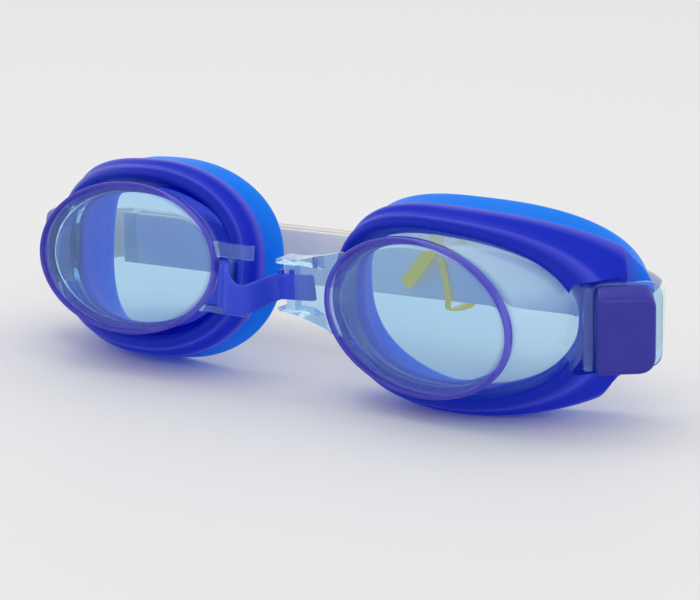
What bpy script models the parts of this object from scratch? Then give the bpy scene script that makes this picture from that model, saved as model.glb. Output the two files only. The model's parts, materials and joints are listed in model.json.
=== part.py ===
"""Swim goggles standing on their seals, with the headband folded and tied behind the eyecups.

Each eyecup is drawn in its own frame: u runs outwards to the temple, v up the lens and d back to the face,
all measured from the centre of the lens rim. X is to the right seen from the front, the lenses face -Y.
"""
import math

import bmesh
import bpy
import numpy as np
from mathutils import Vector

# Lengths are in metres and angles in degrees

# How the two eyecups stand
CUP_SPACING = 0.0717          # between the centres of the lens rims
RIGHT_LEAN = -3.0             # how far each top tips back: the soft bridge lets the eyecups settle apart
LEFT_LEAN = 7.0
RIGHT_TOE = 5.2               # how far each temple end stands forward
LEFT_TOE = 3.7
REST_FLAT = 0.0005            # depth of the flat where a soft seal meets the floor

# Lens and its raised oval rim
RIM_HALF_LENGTH = 0.0225
RIM_HALF_HEIGHT = 0.0161
RIM_DROOP = 1.2               # the temple end hangs lower
RIM_WIDTH = 0.0011
RIM_PROUD = 0.0009            # height of the rim over the lens
RIM_DEPTH = 0.0013            # from the lens face to the back of the rim
RIM_STEP = 0.0007             # the side wall starts this far inside the rim
LENS_THICKNESS = 0.0017
WALL_THICKNESS = 0.0014

# Base of the cup, where the side wall meets its flange
BASE_NOSE = 0.0222
BASE_TEMPLE = 0.0273
BASE_TOP = 0.0162
BASE_BOTTOM = 0.0167
BASE_NOSE_DEPTH = 0.0067
BASE_MIDDLE_DEPTH = 0.0066
BASE_TEMPLE_DEPTH = 0.0166
FLANGE_WIDTH = 0.0018
FLANGE_THICKNESS = 0.0014

# Ridge of the thick gasket band
RIDGE_NOSE = 0.0264
RIDGE_TEMPLE = 0.0385
RIDGE_TOP = 0.0206
RIDGE_BOTTOM = 0.0218
RIDGE_NOSE_DEPTH = 0.0112
RIDGE_MIDDLE_DEPTH = 0.0095
RIDGE_TEMPLE_DEPTH = 0.0326
RIDGE_WIDTH = 0.0018
BAND_END = 0.0070             # the thick band stops here, along the clip
BAND_END_DEPTH = 0.0104

# Edge of the thin sealing lip that meets the face
LIP_NOSE = 0.0279
LIP_TEMPLE = 0.0313
LIP_TOP = 0.0208
LIP_BOTTOM = 0.0229
LIP_NOSE_DEPTH = 0.0177
LIP_MIDDLE_DEPTH = 0.0188
LIP_TEMPLE_DEPTH = 0.0357
LIP_THICKNESS = 0.0012
LIP_FACE = 0.0034             # width of the face that touches the skin
LIP_SHOULDER = 0.0130         # behind the end of the thick band only the lip goes on
LIP_SHOULDER_DEPTH = 0.0136
LIP_FULLNESS = 2.5            # of its upper temple corner
WAIST_INSET = 0.0016          # the band draws in behind its ridge
SEAL_WALL = 0.0030
BAND_STEP = 0.0008            # height of the step round the front of the band
SEAL_DROOP = 2.8
SEAL_FULLNESS = 2.3           # 2 is an ellipse, more is squarer

# Gaps
SEAT_GAP = 0.00035            # round the cup flange in the gasket
PART_GAP = 0.0003             # between other pieces that touch
HINGE_GAP = 0.0003

# Nose bridge strap
STRAP_THICKNESS = 0.0013
STRAP_LEFT_WIDTH = 0.0074
STRAP_RIGHT_WIDTH = 0.0054
STRAP_BOW = 0.0028            # how far the strap stands forward of the rims
STRAP_SAG = 0.0016            # and how far it hangs there
STRAP_TIP = 0.0271            # right end of the strap, from the right rim centre
STRAP_LEVEL = 0.0014          # height of its tip in the right belt loop
STRAP_TILT = 0.0010           # how far it falls from there to the loop's bar
STRAP_LEAVE = 0.0008          # the strap runs straight this far past the loop's bar
NOTCH_PITCH = 0.0030
NOTCH_HEIGHT = 0.0009
NOTCH_LENGTH = 0.0012
NOTCH_FIRST = 0.0332          # first notch, from the right rim centre
NOTCH_COUNT = 2
LOOP_TAIL = 20.0              # where the strap's turn round the bar starts and ends
LOOP_FRONT = 270.0

# Left nose bracket with the bar that the strap loops round
HINGE_OUT = 0.0027            # from the nose end of the rim to the bar
HINGE_DEPTH = 0.0010
HINGE_RADIUS = 0.0009
HINGE_LEVEL = -0.0035         # height of the strap loop on the bar
BRACKET_REACH = 0.0048        # from the bar to the bracket's outer end
BRACKET_TOP = 0.0058
BRACKET_LUG = 0.0014
BRACKET_TOP_LUG = 0.0030
BRACKET_FRONT = 0.0001
BRACKET_BACK = 0.0026

# Right nose arm with the belt loop
ARM_REACH = 0.0358
ARM_ROOT = 0.0175
ARM_ROOT_HALF_HEIGHT = 0.0094
ARM_HALF_HEIGHT = 0.0057
ARM_SHOULDER = 0.0308         # where the taper ends and the loop's front bar starts
ARM_RAIL = 0.0012
ARM_BAR = 0.0031
ARM_PLATE = 0.0013
ARM_FRONT = 0.0002
LOOP_CLEARANCE = 0.0003
LOOP_STOP = 0.0236            # inner end of the belt loop's room, from the rim centre

# Temple arm and clip: s runs out along the arm, q back from the clip's face
CLIP_OUT = 0.0318
CLIP_DEPTH = 0.0152
CLIP_SWEEP = 40.0
CLIP_LENGTH = 0.0117
CLIP_TOP = 0.0049
CLIP_BOTTOM = -0.0104
CLIP_THICKNESS = 0.0034
CLIP_WALL = 0.0010
CLIP_CORNER = 0.0026
CLIP_SOFT_EDGE = 0.0011
CLIP_TOP_SLOPE = 0.0018       # its top climbs this much to the back
TEMPLE_ARM_THICKNESS = 0.0015
TEMPLE_ARM_RISE = 0.0022      # the arm stands this much over the clip's top
TEMPLE_ARM_INSET = 0.0002     # and ends this much over its foot
TEMPLE_ARM_OVERHANG = 0.0018  # the arm's end shows past the clip
TEMPLE_ROOT_IN = 0.0022       # the arm's root reaches back to the cup flange
TEMPLE_ROOT_FRONT = 0.0016
SLOT_WIDTH = 0.0034
SLOT_FROM_END = 0.0022
NOTCH_CLEARANCE = 0.0006      # round the arm and clip in the gasket
NOTCH_INNER = 0.0050          # it bares the cup flange as far as this

# Headband and its tie
BAND_WIDTH = 0.0120
BAND_THICKNESS = 0.0012
BAND_LEVEL = -0.0027          # middle of the band in the clip
RUN_PITCH = 0.0036            # between the folded runs
HANK_BEHIND = 0.0070          # from the deepest seal lip to the first run
RIGHT_PASS = 0.0018           # the band draws in behind the right clip's slot to pass the seal
LEFT_PASS = 0.0005            # and its lead bows out from the left one
RIGHT_INSET = 0.0140          # the folds stop short of the clip slots
LEFT_INSET = 0.0052
FOLD_HEIGHTS = (0.0216, 0.0183, 0.0211, 0.0178)   # middle of the band at each end of the three runs
TIE_X = 0.0172
TIE_WIDTH = 0.0030
TIE_WIRE_WIDTH = 0.0014
TIE_THICKNESS = 0.0006
TIE_GAP = 0.0004
FLAT_LEG_REACH = 0.0076       # to the left of the tie's turn
FLAT_LEG_DROP = 0.0104
WIRE_LEG_REACH = 0.0024       # the turn's foot lies to the right of its top

# Mesh fineness
RING_STEPS = 56
CORNER_STEPS = 4
PATH_STEPS = 5
ROUND_STEPS = 16
FOLD_STEPS = 6

# Colours read as linear values, with roughness
CLEAR_BLUE = ((0.30, 0.56, 0.86), 0.06)
SEAL_BLUE = ((0.045, 0.065, 0.52), 0.35)
CLIP_BLUE = ((0.045, 0.040, 0.36), 0.28)
STRAP_BLUE = ((0.05, 0.08, 0.58), 0.35)
BAND_GREY = ((0.50, 0.53, 0.54), 0.40)
TIE_GOLD = ((0.45, 0.36, 0.05), 0.30)


def clear_scene():
    for obj in list(bpy.data.objects):
        bpy.data.objects.remove(obj, do_unlink=True)


def material(name, finish):
    colour, roughness = finish
    made = bpy.data.materials.new(name)
    made.use_nodes = True
    shader = made.node_tree.nodes["Principled BSDF"]
    shader.inputs["Base Color"].default_value = (*colour, 1.0)
    shader.inputs["Roughness"].default_value = roughness
    made.diffuse_color = (*colour, 1.0)
    return made


def empty(name, parent=None, location=(0.0, 0.0, 0.0), turn_x=0.0, turn_z=0.0):
    made = bpy.data.objects.new(name, None)
    bpy.context.scene.collection.objects.link(made)
    made.parent = parent
    made.location = location
    made.rotation_mode = "ZYX"
    made.rotation_euler = (math.radians(turn_x), 0.0, math.radians(turn_z))
    return made


def mesh_object(name, vertices, faces, parent=None, finish=None, location=(0.0, 0.0, 0.0)):
    """A closed mesh with its faces turned outwards."""
    mesh = bpy.data.meshes.new(name)
    mesh.from_pydata([tuple(v) for v in vertices], [], faces)
    work = bmesh.new()
    work.from_mesh(mesh)
    bmesh.ops.recalc_face_normals(work, faces=work.faces[:])
    work.to_mesh(mesh)
    work.free()
    mesh.shade_smooth()
    mesh.set_sharp_from_angle(angle=math.radians(35.0))
    made = bpy.data.objects.new(name, mesh)
    bpy.context.scene.collection.objects.link(made)
    made.parent = parent
    made.location = location
    if finish is not None:
        mesh.materials.append(finish)
    return made


def as_cutter(obj):
    obj.hide_render = True
    obj.display_type = "WIRE"
    return obj


def boolean(target, operation, tool):
    step = target.modifiers.new(f"{operation.lower()} {tool.name}", "BOOLEAN")
    step.operation = operation
    step.solver = "EXACT"
    step.object = as_cutter(tool)


# Rings of the eyecup, each an array of (u, v, d)

def oval(nose, temple, top, bottom, droop, fullness, corner):
    """A closed outline with its own reach on each of four sides, turned by its droop.

    corner is the fullness of its upper temple quarter.
    """
    angle = np.arange(RING_STEPS) * (2.0 * math.pi / RING_STEPS)
    power = np.where(angle < math.pi / 2.0, 2.0 / corner, 2.0 / fullness)
    across = np.sign(np.cos(angle)) * np.abs(np.cos(angle)) ** power
    upward = np.sign(np.sin(angle)) * np.abs(np.sin(angle)) ** power
    u = np.where(across > 0.0, temple, nose) * across
    v = np.where(upward > 0.0, top, bottom) * upward
    turn = math.radians(-droop)
    return u * math.cos(turn) - v * math.sin(turn), u * math.sin(turn) + v * math.cos(turn)


def ring(nose, temple, top, bottom, nose_depth, middle_depth, temple_depth, corner=SEAL_FULLNESS):
    """A seal or base outline whose depth is the parabola through three depths along u."""
    u, v = oval(nose, temple, top, bottom, SEAL_DROOP, SEAL_FULLNESS, corner)
    slope, curve = np.linalg.solve(
        [[-nose, nose * nose], [temple, temple * temple]],
        [nose_depth - middle_depth, temple_depth - middle_depth])
    return np.column_stack((u, v, middle_depth + slope * u + curve * u * u))


def rim_ring(inset, depth):
    u, v = oval(RIM_HALF_LENGTH - inset, RIM_HALF_LENGTH - inset,
                RIM_HALF_HEIGHT - inset, RIM_HALF_HEIGHT - inset, RIM_DROOP, 2.0, 2.0)
    return np.column_stack((u, v, np.full_like(u, depth)))


def grow(loop, outwards, back=0.0):
    """Offset a ring outwards in the lens plane and back in depth."""
    along = np.roll(loop, -1, axis=0) - np.roll(loop, 1, axis=0)
    normal = np.column_stack((along[:, 1], -along[:, 0]))
    normal /= np.linalg.norm(normal, axis=1)[:, None]
    moved = loop.copy()
    moved[:, :2] += outwards * normal
    moved[:, 2] += back
    return moved


def between(first, second, share):
    return first * (1.0 - share) + second * share


def to_local(points, side):
    """From (u, v, d) to the eyecup's own X, Y, Z."""
    points = np.atleast_2d(points)
    return np.column_stack((side * points[:, 0], points[:, 2], points[:, 1]))


def strip(first, second, steps):
    """Quads between two rings of vertices that start at these numbers."""
    quads = []
    for i in range(steps):
        j = (i + 1) % steps
        quads.append((first + i, first + j, second + j, second + i))
    return quads


def loft(loops, side, ends):
    """Vertices and faces through the loops: ends is 'ring' for a closed torus or 'caps' for two faces."""
    vertices = np.vstack([to_local(loop, side) for loop in loops])
    faces = []
    for k in range(len(loops) - 1):
        faces += strip(k * RING_STEPS, (k + 1) * RING_STEPS, RING_STEPS)
    last = (len(loops) - 1) * RING_STEPS
    if ends == "ring":
        faces += strip(last, 0, RING_STEPS)
    else:
        faces.append(tuple(range(RING_STEPS)))
        faces.append(tuple(last + i for i in range(RING_STEPS)))
    return vertices, faces


def prism(outline, low, high, place):
    """An outline (a, b) carried from low to high; place turns (a, b, c) into X, Y, Z."""
    count = len(outline)
    vertices = [place(a, b, low) for a, b in outline] + [place(a, b, high) for a, b in outline]
    faces = strip(0, count, count)
    faces.append(tuple(range(count)))
    faces.append(tuple(range(count, 2 * count)))
    return vertices, faces


def rounded_rectangle(left, right, low, high, radius):
    """Outline with four equal round corners."""
    points = []
    corners = ((right, high, 0.0), (left, high, 90.0), (left, low, 180.0), (right, low, 270.0))
    for x, y, start in corners:
        centre_x = x - radius if x == right else x + radius
        centre_y = y - radius if y == high else y + radius
        for k in range(CORNER_STEPS + 1):
            angle = math.radians(start + 90.0 * k / CORNER_STEPS)
            points.append((centre_x + radius * math.cos(angle), centre_y + radius * math.sin(angle)))
    return points


def box_outline(left, right, low, high):
    return [(left, low), (right, low), (right, high), (left, high)]


# Where things are

def base_ring():
    return ring(BASE_NOSE, BASE_TEMPLE, BASE_TOP, BASE_BOTTOM,
                BASE_NOSE_DEPTH, BASE_MIDDLE_DEPTH, BASE_TEMPLE_DEPTH)


def ridge_ring():
    return ring(RIDGE_NOSE, RIDGE_TEMPLE, RIDGE_TOP, RIDGE_BOTTOM,
                RIDGE_NOSE_DEPTH, RIDGE_MIDDLE_DEPTH, RIDGE_TEMPLE_DEPTH)


def lip_ring():
    return ring(LIP_NOSE, LIP_TEMPLE, LIP_TOP, LIP_BOTTOM,
                LIP_NOSE_DEPTH, LIP_MIDDLE_DEPTH, LIP_TEMPLE_DEPTH, LIP_FULLNESS)


def gasket_loops():
    """Section of the seal, from the lip over the cup flange round to the eye and back to the seat."""
    base = base_ring()
    ridge = ridge_ring()
    lip = lip_ring()
    front = grow(base, FLANGE_WIDTH + SEAT_GAP, -FLANGE_THICKNESS - SEAT_GAP)
    waist = grow(between(ridge, lip, 0.35), -WAIST_INSET)
    seat_out = FLANGE_WIDTH + SEAT_GAP
    seat_back = FLANGE_THICKNESS + SEAT_GAP
    inner = -WALL_THICKNESS - SEAT_GAP
    return [
        grow(base, SEAT_GAP, -FLANGE_THICKNESS - SEAT_GAP),
        grow(front, -0.5 * FLANGE_WIDTH, -BAND_STEP),
        front,
        grow(between(front, ridge, 0.32), 0.0, -BAND_STEP),
        grow(between(front, ridge, 0.42), 0.0, -0.5 * BAND_STEP),
        grow(between(front, ridge, 0.46), 0.0, 0.5 * BAND_STEP),
        grow(between(front, ridge, 0.84), 0.0, -0.5 * BAND_STEP),
        ridge,
        grow(ridge, 0.0, RIDGE_WIDTH),
        waist,
        grow(between(ridge, lip, 0.75), -0.35 * WAIST_INSET),
        lip,
        grow(lip, -0.4 * LIP_THICKNESS, LIP_THICKNESS),
        grow(lip, -LIP_FACE, 0.4 * LIP_THICKNESS),
        grow(waist, -SEAL_WALL),
        grow(base, inner, 2.0 * seat_back),
        grow(base, inner, seat_back),
        grow(base, seat_out, seat_back),
        grow(base, seat_out, -SEAT_GAP),
        grow(base, SEAT_GAP, -SEAT_GAP),
    ]


def lean_of(side):
    return RIGHT_LEAN if side > 0.0 else LEFT_LEAN


def toe_of(side):
    return RIGHT_TOE if side > 0.0 else LEFT_TOE


def turned(points, side):
    """From (u, v, d) of one eyecup to upright axes about its rim centre."""
    toe = math.radians(toe_of(side))
    lean = math.radians(lean_of(side))
    points = np.atleast_2d(points)
    x = points[:, 0] * math.cos(toe) + points[:, 2] * math.sin(toe)
    back = points[:, 2] * math.cos(toe) - points[:, 0] * math.sin(toe)
    y = back * math.cos(lean) + points[:, 1] * math.sin(lean)
    z = points[:, 1] * math.cos(lean) - back * math.sin(lean)
    return np.column_stack((side * x, y, z))


def rim_height(side):
    """Height of the rim centre, so that the seal's flat lies on the floor."""
    lowest = min(turned(loop, side)[:, 2].min() for loop in gasket_loops())
    return -lowest - REST_FLAT


def upright(points, side):
    """From (u, v, d) of one eyecup to X, Y, Z over the floor."""
    return turned(points, side) + np.array((side * CUP_SPACING / 2.0, 0.0, rim_height(side)))


def temple_point(s, q, v):
    """From the temple arm's s, q to the eyecup's (u, v, d)."""
    sweep = math.radians(CLIP_SWEEP)
    u = CLIP_OUT + s * math.cos(sweep) - q * math.sin(sweep)
    d = CLIP_DEPTH + s * math.sin(sweep) + q * math.cos(sweep)
    return (u, v, d)


def arm_front():
    """The temple arm's front face, behind the clip."""
    return CLIP_THICKNESS + PART_GAP


def slot_middle():
    return CLIP_LENGTH + TEMPLE_ARM_OVERHANG - SLOT_FROM_END - SLOT_WIDTH / 2.0


# Pieces

def lens_cup(name, side, parent, offset, finish):
    """Clear shell: lens, raised rim, swept side wall and base flange."""
    base = base_ring()
    start = rim_ring(RIM_STEP, RIM_DEPTH)
    inside = rim_ring(RIM_STEP + WALL_THICKNESS, LENS_THICKNESS)
    inner_base = grow(base, -WALL_THICKNESS)
    loops = [
        rim_ring(RIM_WIDTH, 0.0),
        rim_ring(0.8 * RIM_WIDTH, -RIM_PROUD),
        rim_ring(0.25 * RIM_WIDTH, -RIM_PROUD),
        rim_ring(0.0, -0.6 * RIM_PROUD),
        rim_ring(0.0, 0.6 * RIM_DEPTH),
        start,
        between(start, base, 0.35),
        between(start, base, 0.70),
        base,
        grow(base, FLANGE_WIDTH),
        grow(base, FLANGE_WIDTH, FLANGE_THICKNESS),
        grow(inner_base, 0.0, FLANGE_THICKNESS),
        inner_base,
        between(inside, inner_base, 0.60),
        inside,
    ]
    vertices, faces = loft(loops, side, "caps")
    return mesh_object(name, vertices, faces, parent, finish, offset)


def gasket(name, side, parent, offset, finish):
    vertices, faces = loft(gasket_loops(), side, "ring")
    return mesh_object(name, vertices, faces, parent, finish, offset)


def temple_frame(name, side, parent, offset):
    """Empty at the clip's front inner corner, turned along the swept-back arm."""
    place = Vector((side * CLIP_OUT, CLIP_DEPTH, 0.0)) + Vector(offset)
    return empty(name, parent, place, turn_z=side * CLIP_SWEEP)


def temple_prism(name, side, parent, outline, low, high, finish=None):
    """An outline in s and v, carried along q."""
    vertices, faces = prism(outline, low, high, lambda s, v, q: (side * s, q, v))
    return mesh_object(name, vertices, faces, parent, finish)


def temple_arm(cup, side, frame):
    """Arm moulded onto the cup flange: a root block, a round-ended plate and the headband's slot."""
    low = CLIP_BOTTOM + TEMPLE_ARM_INSET
    high = CLIP_TOP + TEMPLE_ARM_RISE
    end = CLIP_LENGTH + TEMPLE_ARM_OVERHANG
    front = arm_front()
    back = front + TEMPLE_ARM_THICKNESS
    root_side = box_outline(-TEMPLE_ROOT_IN, -PART_GAP, low + PART_GAP, high - PART_GAP)
    root = temple_prism(f"{cup.name}_root", side, frame, root_side, TEMPLE_ROOT_FRONT, back - PART_GAP)
    boolean(cup, "UNION", root)
    plate_side = rounded_rectangle(-TEMPLE_ROOT_IN / 2.0, end, low, high, CLIP_CORNER)
    plate = temple_prism(f"{cup.name}_plate", side, frame, plate_side, front, back)
    boolean(cup, "UNION", plate)
    half = BAND_WIDTH / 2.0 + 2.0 * PART_GAP
    middle = slot_middle()
    slot_side = box_outline(middle - SLOT_WIDTH / 2.0, middle + SLOT_WIDTH / 2.0,
                            BAND_LEVEL - half, BAND_LEVEL + half)
    slot = temple_prism(f"{cup.name}_slot", side, frame, slot_side, front - PART_GAP, back + PART_GAP)
    boolean(cup, "DIFFERENCE", slot)


def gasket_notch(seal, side, frame):
    """Room in the thick band where the temple arm and clip pass."""
    back = arm_front() + TEMPLE_ARM_THICKNESS + NOTCH_CLEARANCE
    outline = box_outline(-NOTCH_INNER, 2.0 * CLIP_LENGTH,
                          CLIP_BOTTOM - NOTCH_CLEARANCE, CLIP_TOP + TEMPLE_ARM_RISE + NOTCH_CLEARANCE)
    boolean(seal, "DIFFERENCE", temple_prism(f"{seal.name}_notch", side, frame, outline, -CLIP_LENGTH, back))


def band_end(seal, side, frame):
    """Square end of the thick band over the clip. Behind it the thin lip goes on round the temple."""
    reach = 3.0 * CLIP_LENGTH
    plan = [(BAND_END, -CLIP_LENGTH), (BAND_END, BAND_END_DEPTH), (LIP_SHOULDER, LIP_SHOULDER_DEPTH),
            (reach, LIP_SHOULDER_DEPTH), (reach, -CLIP_LENGTH)]
    vertices, faces = prism(plan, -reach, reach, lambda s, q, v: (side * s, q, v))
    boolean(seal, "DIFFERENCE", mesh_object(f"{seal.name}_band_end", vertices, faces, frame))


def floor_flat(seal, parent):
    """The flat on which the soft seal rests."""
    reach = CUP_SPACING * 2.0
    floor = box_outline(-reach, reach, -reach, reach)
    vertices, faces = prism(floor, -reach, 0.0, lambda x, y, z: (x, y, z))
    boolean(seal, "DIFFERENCE", mesh_object(f"{seal.name}_floor", vertices, faces, parent))


def temple_clip(name, side, frame, finish):
    """Hollow cap with soft front edges and a sloping top, open to the arm behind it."""
    outline = rounded_rectangle(0.0, CLIP_LENGTH, CLIP_BOTTOM, CLIP_TOP, CLIP_CORNER)
    clip = temple_prism(name, side, frame, outline, 0.0, CLIP_THICKNESS, finish)
    work = bmesh.new()
    work.from_mesh(clip.data)
    front_edges = [e for e in work.edges if all(v.co.y < PART_GAP for v in e.verts)]
    bmesh.ops.bevel(work, geom=front_edges, offset=CLIP_SOFT_EDGE, segments=3, profile=0.5, affect="EDGES")
    for vertex in work.verts:
        if vertex.co.z > 0.5 * CLIP_TOP:
            vertex.co.z += CLIP_TOP_SLOPE * vertex.co.y / CLIP_THICKNESS
    work.to_mesh(clip.data)
    work.free()
    hollow = rounded_rectangle(CLIP_WALL, CLIP_LENGTH - CLIP_WALL, CLIP_BOTTOM + CLIP_WALL,
                               CLIP_TOP - CLIP_WALL, CLIP_CORNER - CLIP_WALL)
    cavity = temple_prism(f"{name}_hollow", side, frame, hollow, CLIP_WALL, CLIP_THICKNESS + PART_GAP)
    boolean(clip, "DIFFERENCE", cavity)
    return clip


def right_belt_loop(cup, parent):
    """Nose arm: the strap runs in front of its end bar and behind its front plate."""
    back = ARM_FRONT + 2.0 * ARM_PLATE + STRAP_THICKNESS + 2.0 * LOOP_CLEARANCE
    top = STRAP_LEVEL + ARM_HALF_HEIGHT
    low = STRAP_LEVEL - ARM_HALF_HEIGHT
    root_top = STRAP_LEVEL + ARM_ROOT_HALF_HEIGHT
    root_low = STRAP_LEVEL - ARM_ROOT_HALF_HEIGHT
    face = [(-ARM_ROOT, root_low), (-ARM_ROOT, root_top), (-ARM_SHOULDER, top),
            (-ARM_REACH, top), (-ARM_REACH, low), (-ARM_SHOULDER, low)]
    vertices, faces = prism(face, ARM_FRONT, back, lambda u, v, d: (u, d, v))
    arm = mesh_object("belt_loop_block", vertices, faces, parent)
    boolean(cup, "UNION", arm)
    strap_front = ARM_FRONT + ARM_PLATE
    strap_back = strap_front + STRAP_THICKNESS + 2.0 * LOOP_CLEARANCE
    bar = -ARM_REACH + ARM_BAR
    stop = -LOOP_STOP
    beyond = ARM_REACH + ARM_BAR
    passage = [(-beyond, ARM_FRONT - ARM_PLATE), (-ARM_SHOULDER, ARM_FRONT - ARM_PLATE),
               (-ARM_SHOULDER, strap_front), (stop, strap_front), (stop, back + ARM_PLATE),
               (bar, back + ARM_PLATE), (bar, strap_back), (-beyond, strap_back)]
    vertices, faces = prism(passage, low + ARM_RAIL, top - ARM_RAIL, lambda u, d, v: (u, d, v))
    boolean(arm, "DIFFERENCE", mesh_object("belt_loop_passage", vertices, faces, parent))
    relief_end = -ARM_SHOULDER + ARM_BAR / 2.0
    relief_root = -ARM_ROOT + ARM_PLATE
    relief = [(relief_end, back + ARM_PLATE), (relief_end, back), (stop, strap_front),
              (relief_root, strap_front), (relief_root, back + ARM_PLATE)]
    height = 2.0 * ARM_ROOT_HALF_HEIGHT
    vertices, faces = prism(relief, -height, height, lambda u, d, v: (u, d, v))
    boolean(arm, "DIFFERENCE", mesh_object("belt_loop_relief", vertices, faces, parent))


def hinge_reach():
    """How far the hinge bar is from the rim centre, towards the nose."""
    return RIM_HALF_LENGTH + HINGE_OUT


def hinge_foot():
    """Lower end of the hinge bar's clear length: the strap loop sits just over it."""
    return HINGE_LEVEL - STRAP_LEFT_WIDTH / 2.0 - PART_GAP


def rim_edge(v):
    """Half length of the rim at this height."""
    return RIM_HALF_LENGTH * math.sqrt(1.0 - (v / RIM_HALF_HEIGHT) ** 2)


def left_bracket(cup, parent, offset):
    """Nose bracket: two lugs that hold the bar which the strap loops round."""
    place = (lambda u, d, v: (-u + offset[0], d + offset[1], v + offset[2]))
    foot = hinge_foot()
    outer = -hinge_reach() - BRACKET_REACH
    lugs = ((foot - BRACKET_LUG, foot), (BRACKET_TOP - BRACKET_TOP_LUG, BRACKET_TOP))
    for k, (low, high) in enumerate(lugs):
        root = RIM_WIDTH - rim_edge(max(-low, high))
        lug_plan = box_outline(outer, root, BRACKET_FRONT, BRACKET_BACK)
        vertices, faces = prism(lug_plan, low, high, place)
        boolean(cup, "UNION", mesh_object(f"bracket_lug_{k}", vertices, faces, parent))
    overlap = BRACKET_LUG / 2.0
    bar_plan = []
    for k in range(ROUND_STEPS):
        angle = 2.0 * math.pi * k / ROUND_STEPS
        bar_plan.append((-hinge_reach() + HINGE_RADIUS * math.cos(angle),
                         HINGE_DEPTH + HINGE_RADIUS * math.sin(angle)))
    vertices, faces = prism(bar_plan, foot - overlap, BRACKET_TOP - overlap, place)
    boolean(cup, "UNION", mesh_object("bracket_bar", vertices, faces, parent))


def smooth_path(points, steps):
    """A curve through hand-chosen points, with even weights (Catmull-Rom)."""
    points = np.array(points)
    padded = np.vstack((2.0 * points[0] - points[1], points, 2.0 * points[-1] - points[-2]))
    found = []
    for i in range(len(points) - 1):
        a, b, c, d = padded[i:i + 4]
        for t in np.arange(steps) / steps:
            found.append(0.5 * (2.0 * b + (c - a) * t + (2.0 * a - 5.0 * b + 4.0 * c - d) * t ** 2
                                + (3.0 * b - a - 3.0 * c + d) * t ** 3))
    found.append(points[-1])
    return np.array(found)


def unit(vectors):
    return vectors / np.linalg.norm(vectors, axis=1)[:, None]


def squared(path, wide):
    """Width directions turned square to the path."""
    along = unit(np.gradient(path, axis=0))
    return unit(wide - along * np.sum(wide * along, axis=1)[:, None])


def ribbon(path, wide, widths, thickness):
    """A flat band along a path. wide is the direction of its width at each point."""
    thin = unit(np.cross(np.gradient(path, axis=0), wide))
    half = 0.5 * np.asarray(widths)[:, None] * wide
    thick = 0.5 * thickness * thin
    low = path - half
    high = path + half
    corners = np.stack((low - thick, high - thick, high + thick, low + thick), axis=1)
    faces = []
    for i in range(len(path) - 1):
        faces += strip(4 * i, 4 * i + 4, 4)
    faces.append((0, 1, 2, 3))
    last = 4 * len(path) - 4
    faces.append((last, last + 1, last + 2, last + 3))
    return corners.reshape(-1, 3), faces


def strap_depth():
    """Depth of the strap's middle in the right belt loop."""
    return ARM_FRONT + ARM_PLATE + LOOP_CLEARANCE + STRAP_THICKNESS / 2.0


def strap_point(out):
    """A point of the strap's straight end, this far from the right rim centre towards the nose."""
    fall = STRAP_TILT * (out - STRAP_TIP) / (ARM_REACH - STRAP_TIP)
    return upright((-out, STRAP_LEVEL - fall, strap_depth()), 1.0)[0]


def nose_bridge(parent, finish):
    """Strap looped round the left bar, bowed forward and twisted, then straight through the belt loop."""
    hinge = upright((-hinge_reach(), HINGE_LEVEL, HINGE_DEPTH), -1.0)[0]
    inwards = turned((-1.0, 0.0, 0.0), -1.0)[0]
    back = turned((0.0, 0.0, 1.0), -1.0)[0]
    loop_radius = HINGE_RADIUS + HINGE_GAP + STRAP_THICKNESS / 2.0
    angle = np.radians(np.linspace(LOOP_TAIL, LOOP_FRONT, ROUND_STEPS + 1))[:, None]
    loop = hinge + loop_radius * (np.cos(angle) * inwards + np.sin(angle) * back)
    start = loop[-1]
    straight_from = strap_point(ARM_REACH + STRAP_LEAVE)
    tip = strap_point(STRAP_TIP)
    gap = straight_from - start
    bow = [start + gap * (0.30, 0.0, 0.20) - (0.0, STRAP_BOW, 0.6 * STRAP_SAG),
           start + gap * (0.62, 0.2, 0.60) - (0.0, 0.8 * STRAP_BOW, STRAP_SAG)]
    middle = smooth_path([loop[-2], start, bow[0], bow[1], straight_from, tip], PATH_STEPS)
    path = np.vstack((loop[:-1], middle[PATH_STEPS:-PATH_STEPS - 1], np.linspace(straight_from, tip, 3)))
    share = np.clip((path[:, 0] - start[0]) / gap[0], 0.0, 1.0)
    share[:ROUND_STEPS] = 0.0
    widths = STRAP_LEFT_WIDTH + (STRAP_RIGHT_WIDTH - STRAP_LEFT_WIDTH) * share
    left_up = turned((0.0, 1.0, 0.0), -1.0)
    right_up = turned((0.0, 1.0, 0.0), 1.0)
    wide = unit(between(left_up, right_up, share[:, None]))
    place = strap_point(ARM_REACH)
    slide = empty("bridge_adjust", parent, tuple(place))
    vertices, faces = ribbon(path, wide, widths, STRAP_THICKNESS)
    strap = mesh_object("nose_bridge", vertices - place, faces, slide, finish)
    half = STRAP_RIGHT_WIDTH / 2.0 + NOTCH_HEIGHT
    depth = 0.4 * STRAP_THICKNESS
    outline = box_outline(-NOTCH_LENGTH / 2.0, NOTCH_LENGTH / 2.0, -depth, depth)
    for k in range(NOTCH_COUNT):
        vertices, faces = prism(outline, 0.0, half, lambda a, b, c: (a, b, c))
        turn = empty(f"tooth_frame_{k}", slide, tuple(strap_point(NOTCH_FIRST + k * NOTCH_PITCH) - place),
                     turn_x=-RIGHT_LEAN, turn_z=-RIGHT_TOE)
        boolean(strap, "UNION", mesh_object(f"bridge_tooth_{k}", vertices, faces, turn))
    return strap


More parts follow.
